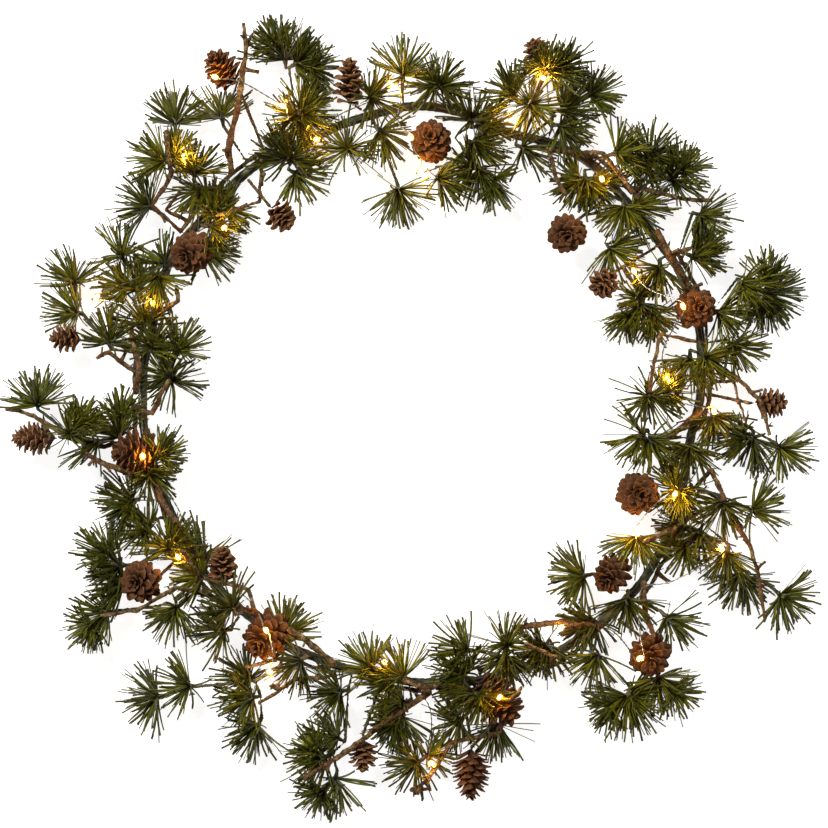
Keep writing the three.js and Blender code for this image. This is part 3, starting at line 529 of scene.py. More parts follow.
# Needles.
def blade_tree():
    """One flat tapering blade on each point, along its aim, as long as its reach."""
    tree, given = geometry_tree("needle_blades", {
        "Length": 25 * MM, "Width": 1.32 * MM, "Thickness": 0.55 * MM, "Bow": 1.8 * MM, "Steps": 4,
    })
    halfway = times(tree, given["Length"], 0.5)
    spine = add(tree, "GeometryNodeCurveQuadraticBezier", {
        "Resolution": given["Steps"], "Start": (0, 0, 0),
        "Middle": xyz(tree, x=given["Bow"], z=halfway), "End": xyz(tree, z=given["Length"]),
    }).outputs[0]
    share = add(tree, "GeometryNodeSplineParameter").outputs["Factor"]
    swell = add(tree, "ShaderNodeFloatCurve", {"Value": share})
    stops = [(0.0, 0.6), (0.25, 1.0), (0.5, 0.84), (0.75, 0.46), (1.0, 0.02)]
    points = swell.mapping.curves[0].points
    while len(points) < len(stops):
        points.new(0.5, 0.5)
    for point, place in zip(points, stops):
        point.location = place
    spine = store(tree, spine, "along", share)
    spine = add(tree, "GeometryNodeSetCurveRadius", {"Curve": spine, "Radius": swell.outputs[0]}).outputs[0]
    round_section = add(tree, "GeometryNodeCurvePrimitiveCircle",
                        {"Resolution": 3, "Radius": 0.55}).outputs[0]
    flat = xyz(tree, x=given["Thickness"], y=given["Width"], z=1.0)
    section = add(tree, "GeometryNodeTransform", {"Geometry": round_section, "Scale": flat}).outputs[0]
    blade = tube_along(tree, spine, section)
    turned = spun(tree, along_aim(tree), attribute(tree, "roll"))
    size = xyz(tree, x=1.0, y=1.0, z=calc(tree, "DIVIDE", attribute(tree, "reach"), given["Length"]))
    end_tree(tree, given, copies_on(tree, given["Geometry"], blade, turned, size))
    return tree


BLADES = blade_tree()

# From points of the picture to the frame, whose origin is a little off the picture's middle.
PICTURE_MIDDLE = (411.5, 416.5)
MM_PER_POINT = 0.615
FRAME_SHIFT = (1.461 * MM, 0.118 * MM)


def at_point(point, height):
    """A point of the picture, at a height above the surface."""
    across = (point[0] - PICTURE_MIDDLE[0]) * MM_PER_POINT * MM
    up = (PICTURE_MIDDLE[1] - point[1]) * MM_PER_POINT * MM
    nearer = 1 - height / EYE_HEIGHT
    return Vector((across * nearer + FRAME_SHIFT[0], up * nearer + FRAME_SHIFT[1], height))


# Clear ground between the tufts, read off the photograph, in points of the picture.
CLEAR_PLACES = [
    (212, 132), (146, 232), (92, 246), (184, 304), (205, 290), (254, 76), (252, 190), (325, 212),
    (372, 188), (350, 188), (356, 44), (480, 68), (524, 186), (518, 44), (612, 134), (678, 232),
    (696, 276), (722, 288), (604, 304), (614, 428), (740, 398), (732, 482), (800, 486), (764, 536),
    (604, 520), (686, 604), (622, 668), (592, 592), (562, 696), (412, 654), (478, 624), (552, 704),
    (522, 738), (350, 712), (418, 726), (284, 712), (282, 728), (362, 790), (194, 660), (126, 650),
    (128, 624), (218, 526), (196, 724), (70, 584), (96, 374), (84, 478), (194, 412), (190, 484),
]
CLEAR_RADIUS = 8 * MM

# Where a needle may be: off the surface, and off the cones and the lights.
LOWEST_NEEDLE = 0.8 * MM
PROBE = 0.6
CONE_FOOT = 0.7
CONE_BODY = 0.85
CONE_TOP = 0.6
LIGHT_ROOM = 1.2 * MM

# How a tuft's needles are spread, and how much they vary.
CLUMPS_PER_TUFT = 56
GUESSES = 3
NEIGHBOURS = 8
FURTHEST_BETWEEN = 0.9
WAY_SHAKE = 0.19
NEEDLES_IN_CLUMP = (1, 1, 2)
CLUMP_SHAKE = 0.06
OWN_REACH = (0.86, 1.0)
BETWEEN_REACH = (0.80, 1.0)
CLUMP_REACH = (0.80, 1.02)
BACKWARDS = -0.12
SHORTENED = 0.70
DROPPED = 0.88
CORE_DEPTH = 1.1 * MM

# How green a tuft, a clump and a needle are, on the finish's ramp.
TUFT_SHADES = (0.08, 0.82)
CLUMP_TONE = 0.42
NEEDLE_TONE = 0.15


def nearest_way(point, start, end):
    """How far a point is from a stretch."""
    along = end - start
    share = max(0.0, min(1.0, (point - start).dot(along) / along.length_squared))
    return (point - start - along * share).length


def is_free(middle, tip):
    """True where a needle stays in the wreath's box, above the surface, and off cones and lights."""
    if tip.z < LOWEST_NEEDLE or any(not low < x < high for x, low, high in zip(tip, cad_low, cad_high)):
        return False
    for point in (middle.lerp(tip, PROBE), tip):
        for cone in CONE_SHAPES.values():
            foot = cone["tip"] - cone["axis"] * cone["length"] * CONE_FOOT
            flat = (point - cone["tip"]).to_2d().length
            if nearest_way(point, foot, cone["tip"]) < cone["radius"] * CONE_BODY:
                return False
            if point.z > cone["tip"].z and flat < cone["radius"] * CONE_TOP:
                return False
        for i in DROPS:
            light = STRING[i][0]
            if point.z > light.z and (point - light).to_2d().length < LIGHT_ROOM:
                return False
    box = frame["record"]["physics"]["openings"][0]["box_m"]
    return not all(box[0][k] < tip[k] < box[1][k] for k in (0, 1))


def leaves_clear(tip):
    """True where a needle's tip is in none of the clear places between the tufts."""
    return all((at_point(place, tip.z) - tip).length > CLEAR_RADIUS for place in CLEAR_PLACES)


def shaken(draw, amount):
    return Vector((draw.uniform(-1, 1), draw.uniform(-1, 1), draw.uniform(-1, 1))) * amount


def way_between(needles, draw):
    """A way and a length in between two neighbouring needles."""
    way, reach = draw.choice(needles)
    others = sorted(needles, key=lambda n: -n[0].dot(way))[1:1 + NEIGHBOURS]
    next_way, next_reach = draw.choice(others)
    share = draw.uniform(0.0, FURTHEST_BETWEEN)
    between = (way.lerp(next_way, share) + shaken(draw, WAY_SHAKE)).normalized()
    return between, (reach + (next_reach - reach) * share) * draw.uniform(*BETWEEN_REACH)


def blades_of(tuft, draw):
    """The tuft's needles: the solid's own, and others singly or in pairs, spread evenly between them."""
    middle = tuft["middle"]
    ahead = tuft["aim"].to_2d()
    rows = []
    for way, reach in tuft["needles"]:
        reach *= draw.uniform(*OWN_REACH)
        if way.to_2d().dot(ahead) < BACKWARDS or not leaves_clear(middle + way * reach):
            reach *= SHORTENED
        if leaves_clear(middle + way * reach):
            rows.append((way, reach, 0.0))
    ways = [way for way, _ in tuft["needles"]]
    for _ in range(CLUMPS_PER_TUFT if len(ways) > 1 else 0):
        guesses = [way_between(tuft["needles"], draw) for _ in range(GUESSES)]
        between, length = min(guesses, key=lambda guess: max(guess[0].dot(way) for way in ways))
        ways.append(between)
        if between.to_2d().dot(ahead) < BACKWARDS:
            if draw.random() < DROPPED:
                continue
            length *= SHORTENED
        tone = draw.uniform(-CLUMP_TONE, CLUMP_TONE)
        for _ in range(draw.choice(NEEDLES_IN_CLUMP)):
            needle = (between + shaken(draw, CLUMP_SHAKE)).normalized()
            long = length * draw.uniform(*CLUMP_REACH)
            tip = middle + needle * long
            if leaves_clear(tip) and is_free(middle, tip):
                rows.append((needle, long, tone))
    return [(middle + way * CORE_DEPTH, way, reach - CORE_DEPTH, tone) for way, reach, tone in rows]


# Tufts that fill the foliage where it is thick, their middles read off the photograph.
FILLING_TUFTS = [
    (112, 284), (186, 152), (286, 120), (268, 36), (324, 72), (424, 84), (240, 206), (576, 64),
    (536, 60), (602, 88), (460, 164), (502, 190), (566, 182), (604, 192), (640, 168), (692, 162),
    (710, 244), (634, 286), (764, 268), (762, 316), (618, 322), (660, 326), (676, 388), (732, 430),
    (664, 484), (672, 524), (676, 556), (574, 626), (600, 712), (642, 700), (682, 700), (528, 652),
    (386, 732), (438, 748), (306, 744), (312, 800), (82, 630), (184, 538), (122, 404), (90, 416),
    (168, 446), (154, 486), (122, 514), (162, 366),
]
FILLING_WAYS = 16
FILLING_REACH = 26 * MM
FILLING_RISE = 0.35
STEM_SHORTER = 8 * MM
LEAST_STEM = 0.3
STEM_RADII = (1.3 * MM, 1.2 * MM)
FILLING_CORE = 1.9 * MM
FILLING_SHORTER = 0.2
WIDEST_WAY = math.radians(98)
GOLDEN_TURN = math.pi * (3 - math.sqrt(5))


def spiral(axis, i, turned=0.0):
    """The way out from an axis at step i of a golden-angle spiral, turned a little further."""
    side = axis.orthogonal().normalized()
    turn = i * GOLDEN_TURN + turned
    return side * math.cos(turn) + axis.cross(side) * math.sin(turn)


def filling_tuft(point, carrier, draw):
    """A tuft on a short stem from the tuft that carries it, which looks away from it."""
    target = at_point(point, carrier["middle"].z + draw.uniform(-1, 3) * MM)
    way = target - carrier["middle"]
    aim = (way.normalized() + UP * FILLING_RISE).normalized()
    middle = carrier["middle"] + way * max(LEAST_STEM, 1 - STEM_SHORTER / way.length)
    needles = []
    for i in range(FILLING_WAYS):
        share = (i + 0.5) / FILLING_WAYS
        wide = WIDEST_WAY * math.sqrt(share)
        needle = aim * math.cos(wide) + spiral(aim, i) * math.sin(wide)
        reach = FILLING_REACH * draw.uniform(0.85, 1.0) * (1 - FILLING_SHORTER * share)
        if is_free(middle, middle + needle * reach):
            needles.append((needle, reach))
    return {"middle": middle, "aim": aim, "needles": needles, "carrier": carrier["middle"]}


def add_stem_to(shape, tuft):
    """A filling tuft's stem and core, as closed solids that cross the one they stand on."""
    start = tuft["carrier"]
    way = tuft["middle"] - start
    turn = way.to_track_quat("Z", "Y").to_matrix().to_4x4()
    place = Matrix.Translation((start + tuft["middle"]) / 2) @ turn
    bmesh.ops.create_cone(shape, cap_ends=True, segments=6, radius1=STEM_RADII[0], radius2=STEM_RADII[1],
                          depth=way.length, matrix=place)
    bmesh.ops.create_icosphere(shape, subdivisions=1, radius=FILLING_CORE,
                               matrix=Matrix.Translation(tuft["middle"]))


def add_needles(node, tufts, draw):
    """A spray's needles: a blade on each, in its tuft's own shade of green."""
    rows = []
    tints = []
    for tuft in tufts:
        shade = draw.uniform(*TUFT_SHADES)
        own = blades_of(tuft, draw)
        rows += own
        for _, _, _, tone in own:
            tint = shade + tone + draw.uniform(-NEEDLE_TONE, NEEDLE_TONE)
            tints.append(min(1.0, max(0.0, tint)))
    roots, ways, reaches, _ = zip(*rows)
    rolls = [draw.uniform(0, math.tau) for _ in rows]
    mesh = mesh_of(node, roots, aim=ways, reach=reaches, roll=rolls, tint=tints)
    needles = new_object(f"needles_{node[-2:]}", mesh)
    kept(grown(needles, BLADES, Material=NEEDLE), "needle", node)


# Stems, twigs and the ring.
def surface_tree():
    """Raises a surface along its normals: a steady swell, lumps, and fine ridges."""
    tree, given = geometry_tree("grown_surface", {
        "Swell": 0.2 * MM, "Lump Height": 0.5 * MM, "Lump Scale": 160.0, "Ridge Height": 0.15 * MM,
        "Ridge Scale": 700.0, "Wander": 0.0, "Wander Scale": 42.0, "Lowest": 0.4 * MM,
    })
    place = add(tree, "GeometryNodeInputPosition").outputs[0]
    rise = swing(tree, noise_at(tree, place, given["Lump Scale"]), given["Lump Height"])
    fine = swing(tree, noise_at(tree, place, given["Ridge Scale"]), given["Ridge Height"])
    total = calc(tree, "ADD", calc(tree, "ADD", rise, fine), given["Swell"])
    normal = add(tree, "GeometryNodeInputNormal").outputs[0]
    raised = moved(tree, given["Geometry"], scaled(tree, normal, total))
    drift = noise_at(tree, place, given["Wander Scale"], output="Color")
    drift = add(tree, "ShaderNodeVectorMath", {0: drift, 1: (0.5, 0.5, 0.5)}, operation="SUBTRACT").outputs[0]
    raised = moved(tree, raised, scaled(tree, drift, given["Wander"]))
    low = add(tree, "ShaderNodeSeparateXYZ", {"Vector": place}).outputs["Z"]
    lift = calc(tree, "MAXIMUM", calc(tree, "SUBTRACT", given["Lowest"], low), 0.0)
    end_tree(tree, given, moved(tree, raised, xyz(tree, z=lift)))
    return tree


SURFACE = surface_tree()
STEM_VOXEL = 0.66 * MM
TWIG_VOXEL = 0.7 * MM
CONE_STEM_VOXEL = 0.65 * MM


def rounded(name, shape, voxel, passes):
    """A solid's copy made round: remeshed and smoothed."""
    mesh = bpy.data.meshes.new(name)
    shape.to_mesh(mesh)
    shape.free()
    thing = new_object(name, mesh)
    remesh = thing.modifiers.new("even", "REMESH")
    remesh.mode = "VOXEL"
    remesh.voxel_size = voxel
    smooth = thing.modifiers.new("round", "SMOOTH")
    smooth.factor = 0.5
    smooth.iterations = passes
    return thing


def add_stems(node, shape, needles, fillings):
    """The spray's taped stems and tuft cores, with the needles drawn back into the cores."""
    for _, foot, vert in needles:
        vert.co = foot
    for tuft in fillings:
        add_stem_to(shape, tuft)
    stems = rounded(f"stems_{node[-2:]}", shape, STEM_VOXEL, 3)
    values = {"Swell": 0.3 * MM, "Lump Height": 0.5 * MM, "Lump Scale": 300.0}
    kept(grown(stems, SURFACE, Material=TAPE, **values), "tape", node)


def bract_mesh(length=5.2 * MM, width=1.9 * MM, stations=6):
    """A small pointed bract that leans out from its foot, with a thin back and a keel."""
    verts = []
    for i in range(stations):
        u = i / stations
        half = width / 2 * math.sin(math.pi * (0.2 + 0.8 * u)) ** 0.8
        rise = length * (0.55 * u + 0.25 * u * u)
        ahead = length * (0.75 * u - 0.12 * u * u)
        keel = width * 0.34 * (1 - u)
        verts += [(ahead, -half, rise), (ahead + keel * 0.4, 0, rise - keel), (ahead, half, rise),
                  (ahead - keel * 0.2, 0, rise + keel * 0.25)]
    verts.append((length * 0.64, 0, length * 0.82))
    top = 4 * (stations - 1)
    faces = tube_faces(stations, 4)
    faces += [(top + k, top + (k + 1) % 4, len(verts) - 1) for k in range(4)]
    faces.append((3, 2, 1, 0))
    return faced_outwards(mesh_of("bract", verts, faces))


def stub_mesh(length=7 * MM, radius=1.15 * MM, sides=6):
    """A short side shoot, cut off square, that leans out from its foot."""
    verts = []
    for ahead, rise, size in ((-0.1, -0.1, 1.25), (0.12, 0.2, 1.0), (0.3, 0.55, 0.85), (0.44, 0.9, 0.95)):
        for k in range(sides):
            turn = math.tau * k / sides
            out = radius * size * math.cos(turn)
            across = radius * size * math.sin(turn)
            verts.append((length * ahead + out * 0.9, across, length * rise - out * 0.4))
    faces = tube_faces(4, sides)
    faces.append(tuple(range(sides))[::-1])
    faces.append(tuple(range(3 * sides, 4 * sides)))
    return mesh_of("stub", verts, faces)


def standing_tree(name, source, density):
    """The surface with copies of a small shape standing on it here and there."""
    inputs = {"Density": density, "Seed": 1, "Smallest": 0.6, "Largest": 1.3}
    tree, given = geometry_tree(name, inputs)
    shape = add(tree, "GeometryNodeObjectInfo", {"Object": source}).outputs["Geometry"]
    normal = add(tree, "GeometryNodeInputNormal").outputs[0]
    rise = add(tree, "ShaderNodeSeparateXYZ", {"Vector": normal}).outputs["Z"]
    points = add(tree, "GeometryNodeDistributePointsOnFaces", {
        "Mesh": given["Geometry"], "Selection": calc(tree, "GREATER_THAN", rise, 0.1),
        "Density": given["Density"], "Seed": given["Seed"],
    })
    angle = add(tree, "FunctionNodeRandomValue", {"Min": 0.0, "Max": math.tau}, data_type="FLOAT")
    angle = [o for o in angle.outputs if o.enabled][0]
    turned = spun(tree, points.outputs["Rotation"], angle)
    size = add(tree, "GeometryNodeInputPosition").outputs[0]
    size = add(tree, "ShaderNodeTexWhiteNoise", {"Vector": size}, noise_dimensions="3D").outputs["Value"]
    size = add(tree, "ShaderNodeMapRange",
               {"Value": size, "To Min": given["Smallest"], "To Max": given["Largest"]}).outputs[0]
    copies = copies_on(tree, points.outputs["Points"], shape, turned, size)
    join = tree.nodes.new("GeometryNodeJoinGeometry")
    tree.links.new(given["Geometry"], join.inputs[0])
    tree.links.new(copies, join.inputs[0])
    end_tree(tree, given, join.outputs[0])
    return tree


bract_source = new_object("bract", bract_mesh())
stub_source = new_object("stub", stub_mesh())
BRACTS = standing_tree("bracts", bract_source, 9000.0)
STUBS = standing_tree("stubs", stub_source, 4500.0)
LARGEST_BRACT = 1.0
BRACT_SEED = 7
STUB_SEED = 40


def add_twig(node):
    """A twig: its bark, with cut side shoots and bracts standing on it."""
    twig = rounded(f"bark_{node}", merged(node), TWIG_VOXEL, 4)
    values = {
        "Swell": 0.30 * MM, "Lump Height": 1.6 * MM, "Lump Scale": 190.0, "Ridge Height": 0.6 * MM,
        "Wander": 4 * MM, "Wander Scale": 60.0,
    }
    twig = grown(twig, SURFACE, Material=BARK, **values)
    number = int(node[-2:])
    twig = grown(twig, STUBS, Material=BARK, Seed=number + STUB_SEED)
    twig = grown(twig, BRACTS, Material=BARK, Seed=number + BRACT_SEED, Largest=LARGEST_BRACT)
    kept(twig, "bark", node)


def nearest_tuft(point):
    """The tuft nearest a point of the picture, with the spray that it belongs to."""
    pairs = [(node, tuft) for node, tufts in spray_tufts.items() for tuft in tufts]
    return min(pairs, key=lambda pair: (at_point(point, pair[1]["middle"].z) - pair[1]["middle"]).length)


draw = random.Random(20261)
sprays = {node: merged(node) for node in SPRAY_NODES}
spray_needles = {node: needles_of(shape) for node, shape in sprays.items()}
spray_tufts = {node: tufts_of(needles) for node, needles in spray_needles.items()}
fillings = {node: [] for node in SPRAY_NODES}
for point in FILLING_TUFTS:
    carrier_node, carrier = nearest_tuft(point)
    fillings[carrier_node].append(filling_tuft(point, carrier, draw))
for spray_node, spray in sprays.items():
    add_needles(spray_node, spray_tufts[spray_node] + fillings[spray_node], draw)
    add_stems(spray_node, spray, spray_needles[spray_node], fillings[spray_node])
for twig_node in TWIG_NODES:
    add_twig(twig_node)
bpy.data.objects.remove(bract_source)
bpy.data.objects.remove(stub_source)


def strand_tree():
    """Several round strands twisted about a line, each wound with tape in a low helix."""
    tree, given = geometry_tree("twisted_strands", {
        "Strands": 3, "Strand Radius": 1.5 * MM, "Offset": 1.5 * MM, "Turns": 30.0, "Step": 1.5 * MM,
        "Sides": 10, "Ridge Height": 0.25 * MM, "Ridge Pitch": 7 * MM,
    })
    line = add(tree, "GeometryNodeResampleCurve",
               {"Curve": given["Geometry"], "Length": given["Step"]}, mode="LENGTH").outputs[0]
    copies = add(tree, "GeometryNodeDuplicateElements",
                 {"Geometry": line, "Amount": given["Strands"]}, domain="SPLINE")
    phase = calc(tree, "DIVIDE", copies.outputs["Duplicate Index"], given["Strands"])
    parameter = add(tree, "GeometryNodeSplineParameter").outputs
    turns = times(tree, parameter["Factor"], given["Turns"])
    angle = times(tree, calc(tree, "ADD", turns, phase), math.tau)
    normal = add(tree, "GeometryNodeInputNormal").outputs[0]
    tangent = add(tree, "GeometryNodeInputTangent").outputs[0]
    out = add(tree, "ShaderNodeVectorRotate", {"Vector": normal, "Axis": tangent, "Angle": angle},
              rotation_type="AXIS_ANGLE").outputs[0]
    strands = moved(tree, copies.outputs[0], scaled(tree, out, given["Offset"]))
    strands = store(tree, strands, "wound", calc(tree, "DIVIDE", parameter["Length"], given["Ridge Pitch"]))
    section = add(tree, "GeometryNodeCurvePrimitiveCircle",
                  {"Resolution": given["Sides"], "Radius": given["Strand Radius"]}).outputs[0]
    around = add(tree, "GeometryNodeSplineParameter").outputs["Factor"]
    section = store(tree, section, "around", around)
    tube = tube_along(tree, strands, section)
    helix = calc(tree, "FRACT", calc(tree, "ADD", attribute(tree, "wound"), attribute(tree, "around")))
    ridge = swing(tree, helix, given["Ridge Height"])
    face = add(tree, "GeometryNodeInputNormal").outputs[0]
    end_tree(tree, given, moved(tree, tube, scaled(tree, face, ridge)))
    return tree


STRANDS = strand_tree()


def curve_through(name, points, cyclic=False):
    """A poly curve through points."""
    data = bpy.data.curves.new(name, "CURVE")
    data.dimensions = "3D"
    spline = data.splines.new("POLY")
    spline.points.add(len(points) - 1)
    for slot, point in zip(spline.points, points):
        slot.co = (*point, 1)
    spline.use_cyclic_u = cyclic
    return new_object(name, data)


def softened(points, steps, cyclic=False):
    """A smooth line through points, by Catmull-Rom stretches."""
    count = len(points)
    pick = (lambda i: points[i % count]) if cyclic else (lambda i: points[max(0, min(count - 1, i))])
    line = []
    for i in range(count if cyclic else count - 1):
        a, b, c, d = (pick(i + k) for k in (-1, 0, 1, 2))
        for k in range(steps):
            t = k / steps
            line.append(0.5 * (2 * b + (c - a) * t + (2 * a - 5 * b + 4 * c - d) * t * t
                               + (3 * b - a - 3 * c + d) * t ** 3))
    if not cyclic:
        line.append(points[-1])
    return line


RING_LIFT = 0.25 * MM
RING_SIDES = 6


def ring_line():
    """The ring's centre line, from the middles of its sections, in order round the wreath."""
    shape = merged("ring_frame")
    corners = [v.co for v in shape.verts]
    turns = sorted(corners, key=lambda p: math.atan2(p.y, p.x))
    starts = range(0, len(turns), RING_SIDES)
    middles = [sum(turns[i:i + RING_SIDES], Vector()) / RING_SIDES for i in starts]
    height = (max(p.z for p in corners) + min(p.z for p in corners)) / 2 + RING_LIFT
    shape.free()
    return [Vector((p.x, p.y, height)) for p in middles]


def add_ring():
    """The ring: taped wires bound side by side."""
    line = curve_through("ring_bundle", softened(ring_line(), 6, cyclic=True), cyclic=True)
    values = {
        "Strands": 3, "Strand Radius": 1.6 * MM, "Offset": 1.45 * MM, "Turns": 9.0,
        "Ridge Height": 0.4 * MM, "Ridge Pitch": 5 * MM,
    }
    kept(grown(line, STRANDS, Material=TAPE, **values), "tape", "ring_frame")


add_ring()


# Cones.
def scale_mesh(across=6, along=5):
    """One cone scale of unit length and width: a ribbed petal on a narrow claw, thin at its rim."""
    verts = []
    rims = []
    sides = []
    for side in (1, -1):
        for i in range(along + 1):
            u = i / along
            beyond = max(0.0, u - 0.8) / 0.2
            half = 0.15 + 0.37 * math.sin(math.pi / 2 * min(1.0, u / 0.82) ** 1.5) * (1 - 0.14 * beyond)
            for k in range(across + 1):
                v = 2 * k / across - 1
                arc = u * (1 - 0.22 * v * v * u ** 3)
                rib = 0.018 * math.cos(3 * math.pi * v) * u
                cup = 0.10 * v * v * u
                curl = 0.12 * u - 0.5 * max(0.0, u - 0.55) ** 2
                thick = (0.075 - 0.02 * u) * math.sqrt(max(0.06, 1 - v * v * 0.94))
                thick *= 1 if u < 0.95 else 0.6
                verts.append((arc, v * half, cup + curl + rib + side * thick * 0.5))
                rims.append(u * (0.8 + 0.2 * v * v))
                sides.append(v)
    columns = across + 1
    rows = along + 1
    faces = []
    for side in (0, 1):
        base = side * rows * columns
        for i in range(along):
            for k in range(across):
                a = base + i * columns + k
                quad = (a, a + columns, a + columns + 1, a + 1)
                faces.append(quad if side == 0 else quad[::-1])
    edge = [i * columns for i in range(rows)]
    edge += [along * columns + k for k in range(1, columns)]
    edge += [i * columns + across for i in range(along - 1, -1, -1)]
    edge += [k for k in range(across - 1, 0, -1)]
    offset = rows * columns
    for a, b in zip(edge, edge[1:] + edge[:1]):
        faces.append((a, a + offset, b + offset, b))
    return faced_outwards(mesh_of("cone_scale", verts, faces, rim=rims, across=sides))


SMALL_CONE = 10.5 * MM
LOOKS_UP = 0.6
CORE_SHARE = 0.07
# How a cone's scales lean from its base to its tip, in degrees, and how far they close at the tip.
SIDE_LEAN = 16
UP_LEAN = -6
TIP_LEAN = 52
CLOSES_BY = 140
CLOSES_FROM = 0.8
LEAN_SHAKE = (-8, 4)
TURN_SHAKE = 0.14
REACH_SHAKE = (0.92, 1.04)
SMALL_TINTS = (0.7, 1.0)
LARGE_TINTS = (0.0, 0.48)
# How far out a cone's scales reach, as a share of its radius, from its base to its tip.
CONE_PROFILE = [(0.0, 0.88), (0.2, 1.0), (0.55, 0.97), (0.8, 0.74), (1.0, 0.16)]


def profile_at(t):
    for (low, a), (high, b) in zip(CONE_PROFILE, CONE_PROFILE[1:]):
        if t <= high:
            return a + (b - a) * (t - low) / (high - low)
    return CONE_PROFILE[-1][1]


def cone_points(cone, count, draw):
    """Where a cone's scales start, and the two ways that each is turned: a golden-angle spiral."""
    axis = cone["axis"]
    base = cone["tip"] - axis * cone["length"]
    core = cone["radius"] * CORE_SHARE
    radius = cone["radius"] * (1.18 - 0.18 * max(0.0, axis.z))
    first_lean = SIDE_LEAN if axis.z < LOOKS_UP else UP_LEAN
    rows = []
    for i in range(count):
        t = (i + 0.5) / count
        out = spiral(axis, i, draw.uniform(-TURN_SHAKE, TURN_SHAKE))
        closed = CLOSES_BY * max(0.0, t - CLOSES_FROM)
        lean = math.radians(first_lean + (TIP_LEAN - first_lean) * t + closed + draw.uniform(*LEAN_SHAKE))
        way = out * math.cos(lean) + axis * math.sin(lean)
        face = axis * math.cos(lean) - out * math.sin(lean)
        reach = (radius * profile_at(t) * draw.uniform(*REACH_SHAKE) - core) / math.cos(lean)
        height = cone["length"] * (0.12 + 0.84 * t) - reach * math.sin(lean)
        start = base + axis * height + out * core
        tint = draw.uniform(*(SMALL_TINTS if cone["radius"] < SMALL_CONE else LARGE_TINTS))
        rows.append((start, way, face, reach, tint))
    return rows


def scale_tree():
    """A scale on each point, turned by its two ways and sized by its reach."""
    tree, given = geometry_tree("cone_scales", {"Width Share": 0.44, "Thickness Share": 1.0})
    scale_source = new_object("cone_scale", scale_mesh())
    source = add(tree, "GeometryNodeObjectInfo", {"Object": scale_source}).outputs["Geometry"]
    turned = add(tree, "FunctionNodeAxesToRotation", {
        "Primary Axis": attribute(tree, "aim", "FLOAT_VECTOR"),
        "Secondary Axis": attribute(tree, "face", "FLOAT_VECTOR"),
    }, primary_axis="X", secondary_axis="Z").outputs[0]
    reach = attribute(tree, "reach")
    size = xyz(tree, x=reach, y=times(tree, reach, given["Width Share"]),
               z=times(tree, reach, given["Thickness Share"]))
    end_tree(tree, given, copies_on(tree, given["Geometry"], source, turned, size))
    return tree, scale_source


SCALES, scale_source = scale_tree()
CORE_DRAWN_BACK = 0.36
CORE_DRAWN_IN = 0.82
NET_SHARE = 0.99
SMALL_COUNT = 30
LARGE_COUNT = 46
LONG_CONE = 27 * MM
MORE_WHERE_LONG = 8


def add_cone(node, cone, draw):
    """A cone: its scales on their spiral round a core, on the solid's own stem."""
    number = node[-2:]
    is_small = cone["radius"] < SMALL_CONE
    count = SMALL_COUNT if is_small else LARGE_COUNT
    if cone["length"] > LONG_CONE:
        count += MORE_WHERE_LONG
    starts, ways, faces, reaches, tints = zip(*cone_points(cone, count, draw))
    mesh = mesh_of(node, starts, aim=ways, face=faces, reach=reaches, tint=tints)
    values = {"Width Share": 0.60 if is_small else 0.50, "Thickness Share": 1.7 if is_small else 1.1}
    scales = new_object(f"scales_{number}", mesh)
    kept(grown(scales, SCALES, Material=CONE, **values), "cone", node)
    shape = merged(node)
    for vert in shape.verts:
        down = cone["tip"] - vert.co
        depth = down.dot(cone["axis"])
        out = down - cone["axis"] * depth
        if depth < cone["length"] * NET_SHARE:
            vert.co += out * CORE_DRAWN_IN - cone["axis"] * (cone["length"] - depth) * CORE_DRAWN_BACK
    stem = rounded(f"cone_stem_{number}", shape, CONE_STEM_VOXEL, 3)
    values = {"Swell": 0.25 * MM, "Lump Height": 0.8 * MM, "Lump Scale": 240.0}
    kept(grown(stem, SURFACE, Material=BARK, **values), "bark", node)


for cone_node, cone in CONE_SHAPES.items():
    add_cone(cone_node, cone, draw)
bpy.data.objects.remove(scale_source)


# The string of lights.
def lamp_tree():
    """A lit drop on each point, drawn out along its aim."""
    tree, given = geometry_tree("lit_drops", {"Radius": 1.45 * MM, "Stretch": 1.5})
    ball = add(tree, "GeometryNodeMeshUVSphere",
               {"Segments": 16, "Rings": 10, "Radius": given["Radius"]}).outputs[0]
    size = xyz(tree, x=1.0, y=1.0, z=given["Stretch"])
    end_tree(tree, given, copies_on(tree, given["Geometry"], ball, along_aim(tree), size))
    return tree


GLOW_POWER = 0.042
GLOW_COLOUR = (1.0, 0.47, 0.035)
GLOW_SIZE = 2.5 * MM
GLOW_HEIGHT = 3.5 * MM
WIRE_SLACK = 7 * MM
SLACK_SHARE = 0.12
STEPS_IN_STRETCH = 8


def slack_line(points, draw):
    """The wire's line, which bows to and fro between one light and the next."""
    line = softened(points, STEPS_IN_STRETCH)
    for a, b in zip(DROPS, DROPS[1:]):
        first, last = (a + 1) * STEPS_IN_STRETCH, (b - 1) * STEPS_IN_STRETCH
        across = (points[b] - points[a]).cross(UP).normalized()
        once = draw.uniform(0.4, 1.0) * draw.choice((-1, 1))
        twice = draw.uniform(-0.6, 0.6)
        amount = min(WIRE_SLACK, (points[b] - points[a]).length * SLACK_SHARE)
        for i in range(first, last):
            share = (i - first) / (last - first)
            bow = once * math.sin(math.pi * share) + twice * math.sin(math.tau * share)
            line[i] += across * bow * amount
    return line


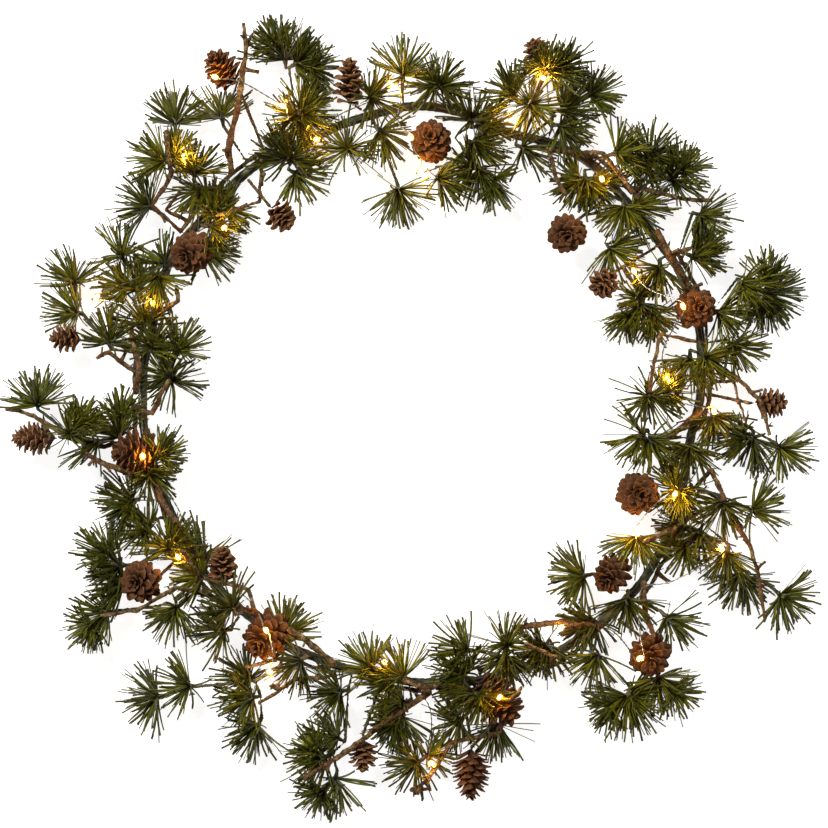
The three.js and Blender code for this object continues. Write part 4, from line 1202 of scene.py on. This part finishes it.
def add_lights():
    """The twin wire along the string's line, the lit drops on it, and the light that they give."""
    points = [middle for middle, _ in STRING]
    wire = curve_through("twin_wire", slack_line(points, draw))
    values = {
        "Strands": 2, "Strand Radius": 0.24 * MM, "Offset": 0.26 * MM, "Turns": 260.0, "Step": 1.2 * MM,
        "Sides": 6, "Ridge Height": 0.0,
    }
    kept(grown(wire, STRANDS, Material=WIRE, **values), "light", "light_string")
    ways = [(points[min(i + 1, len(points) - 1)] - points[max(i - 1, 0)]).normalized() for i in DROPS]
    mesh = mesh_of("lit_drops", [points[i] for i in DROPS], aim=ways)
    kept(grown(new_object("lit_drops", mesh), lamp_tree(), Material=LAMP), "light", "light_string")
    for i in DROPS:
        data = bpy.data.lights.new("glow", "POINT")
        data.energy = GLOW_POWER
        data.color = GLOW_COLOUR
        data.shadow_soft_size = GLOW_SIZE
        new_object("glow", data).location = points[i] + UP * GLOW_HEIGHT


add_lights()


# The studio: a pale floor under soft light.
FLOOR_HALF = 3.0
# Each lamp's name, place, width and power.
STUDIO_LAMPS = [
    ("key", (-0.7, 0.9, 1.6), 0.40, 68.0),
    ("fill", (1.1, -0.3, 1.5), 0.9, 11.0),
]


def add_studio():
    corners = [(x * FLOOR_HALF, y * FLOOR_HALF, 0) for x, y in ((-1, -1), (1, -1), (1, 1), (-1, 1))]
    mesh = mesh_of("floor", corners, [(0, 1, 2, 3)])
    material, tree, shader = finish("pale_floor", 0.9)
    tone = ramp(tree, noise(tree, 3.0), [(0.3, (0.38, 0.38, 0.38)), (0.7, (0.42, 0.42, 0.42))])
    paint(tree, shader, tone)
    shader.inputs["Emission Color"].default_value = (1, 1, 1, 1)
    shader.inputs["Emission Strength"].default_value = 0.87
    mesh.materials.append(material)
    floor = new_object("floor", mesh)
    world = bpy.data.worlds.new("soft_room")
    world.use_nodes = True
    sky = world.node_tree.nodes["Background"].inputs
    sky["Color"].default_value = (1.0, 0.95, 0.86, 1)
    sky["Strength"].default_value = 0.13
    bpy.context.scene.world = world
    for name, place, size, power in STUDIO_LAMPS:
        data = bpy.data.lights.new(name, "AREA")
        data.shape = "SQUARE"
        data.size = size
        data.energy = power
        data.color = (1.0, 0.96, 0.88)
        lamp = new_object(name, data)
        lamp.location = place
        lamp.rotation_euler = (-Vector(place)).to_track_quat("-Z", "Y").to_euler()
    settings = bpy.context.scene.view_settings
    settings.view_transform = "Standard"
    settings.look = "None"


add_studio()


def add_bloom():
    """The soft bloom that a lens gives the lit drops."""
    scene = bpy.context.scene
    scene.use_nodes = True
    tree = scene.node_tree
    tree.nodes.clear()
    seen = tree.nodes.new("CompositorNodeRLayers")
    glare = add(tree, "CompositorNodeGlare", {
        "Image": seen.outputs["Image"], "Threshold": 2.0, "Strength": 0.4, "Size": 0.25,
        "Tint": (1.0, 0.58, 0.08, 1),
    }, glare_type="BLOOM")
    add(tree, "CompositorNodeComposite", {"Image": glare.outputs["Image"]})


add_bloom()
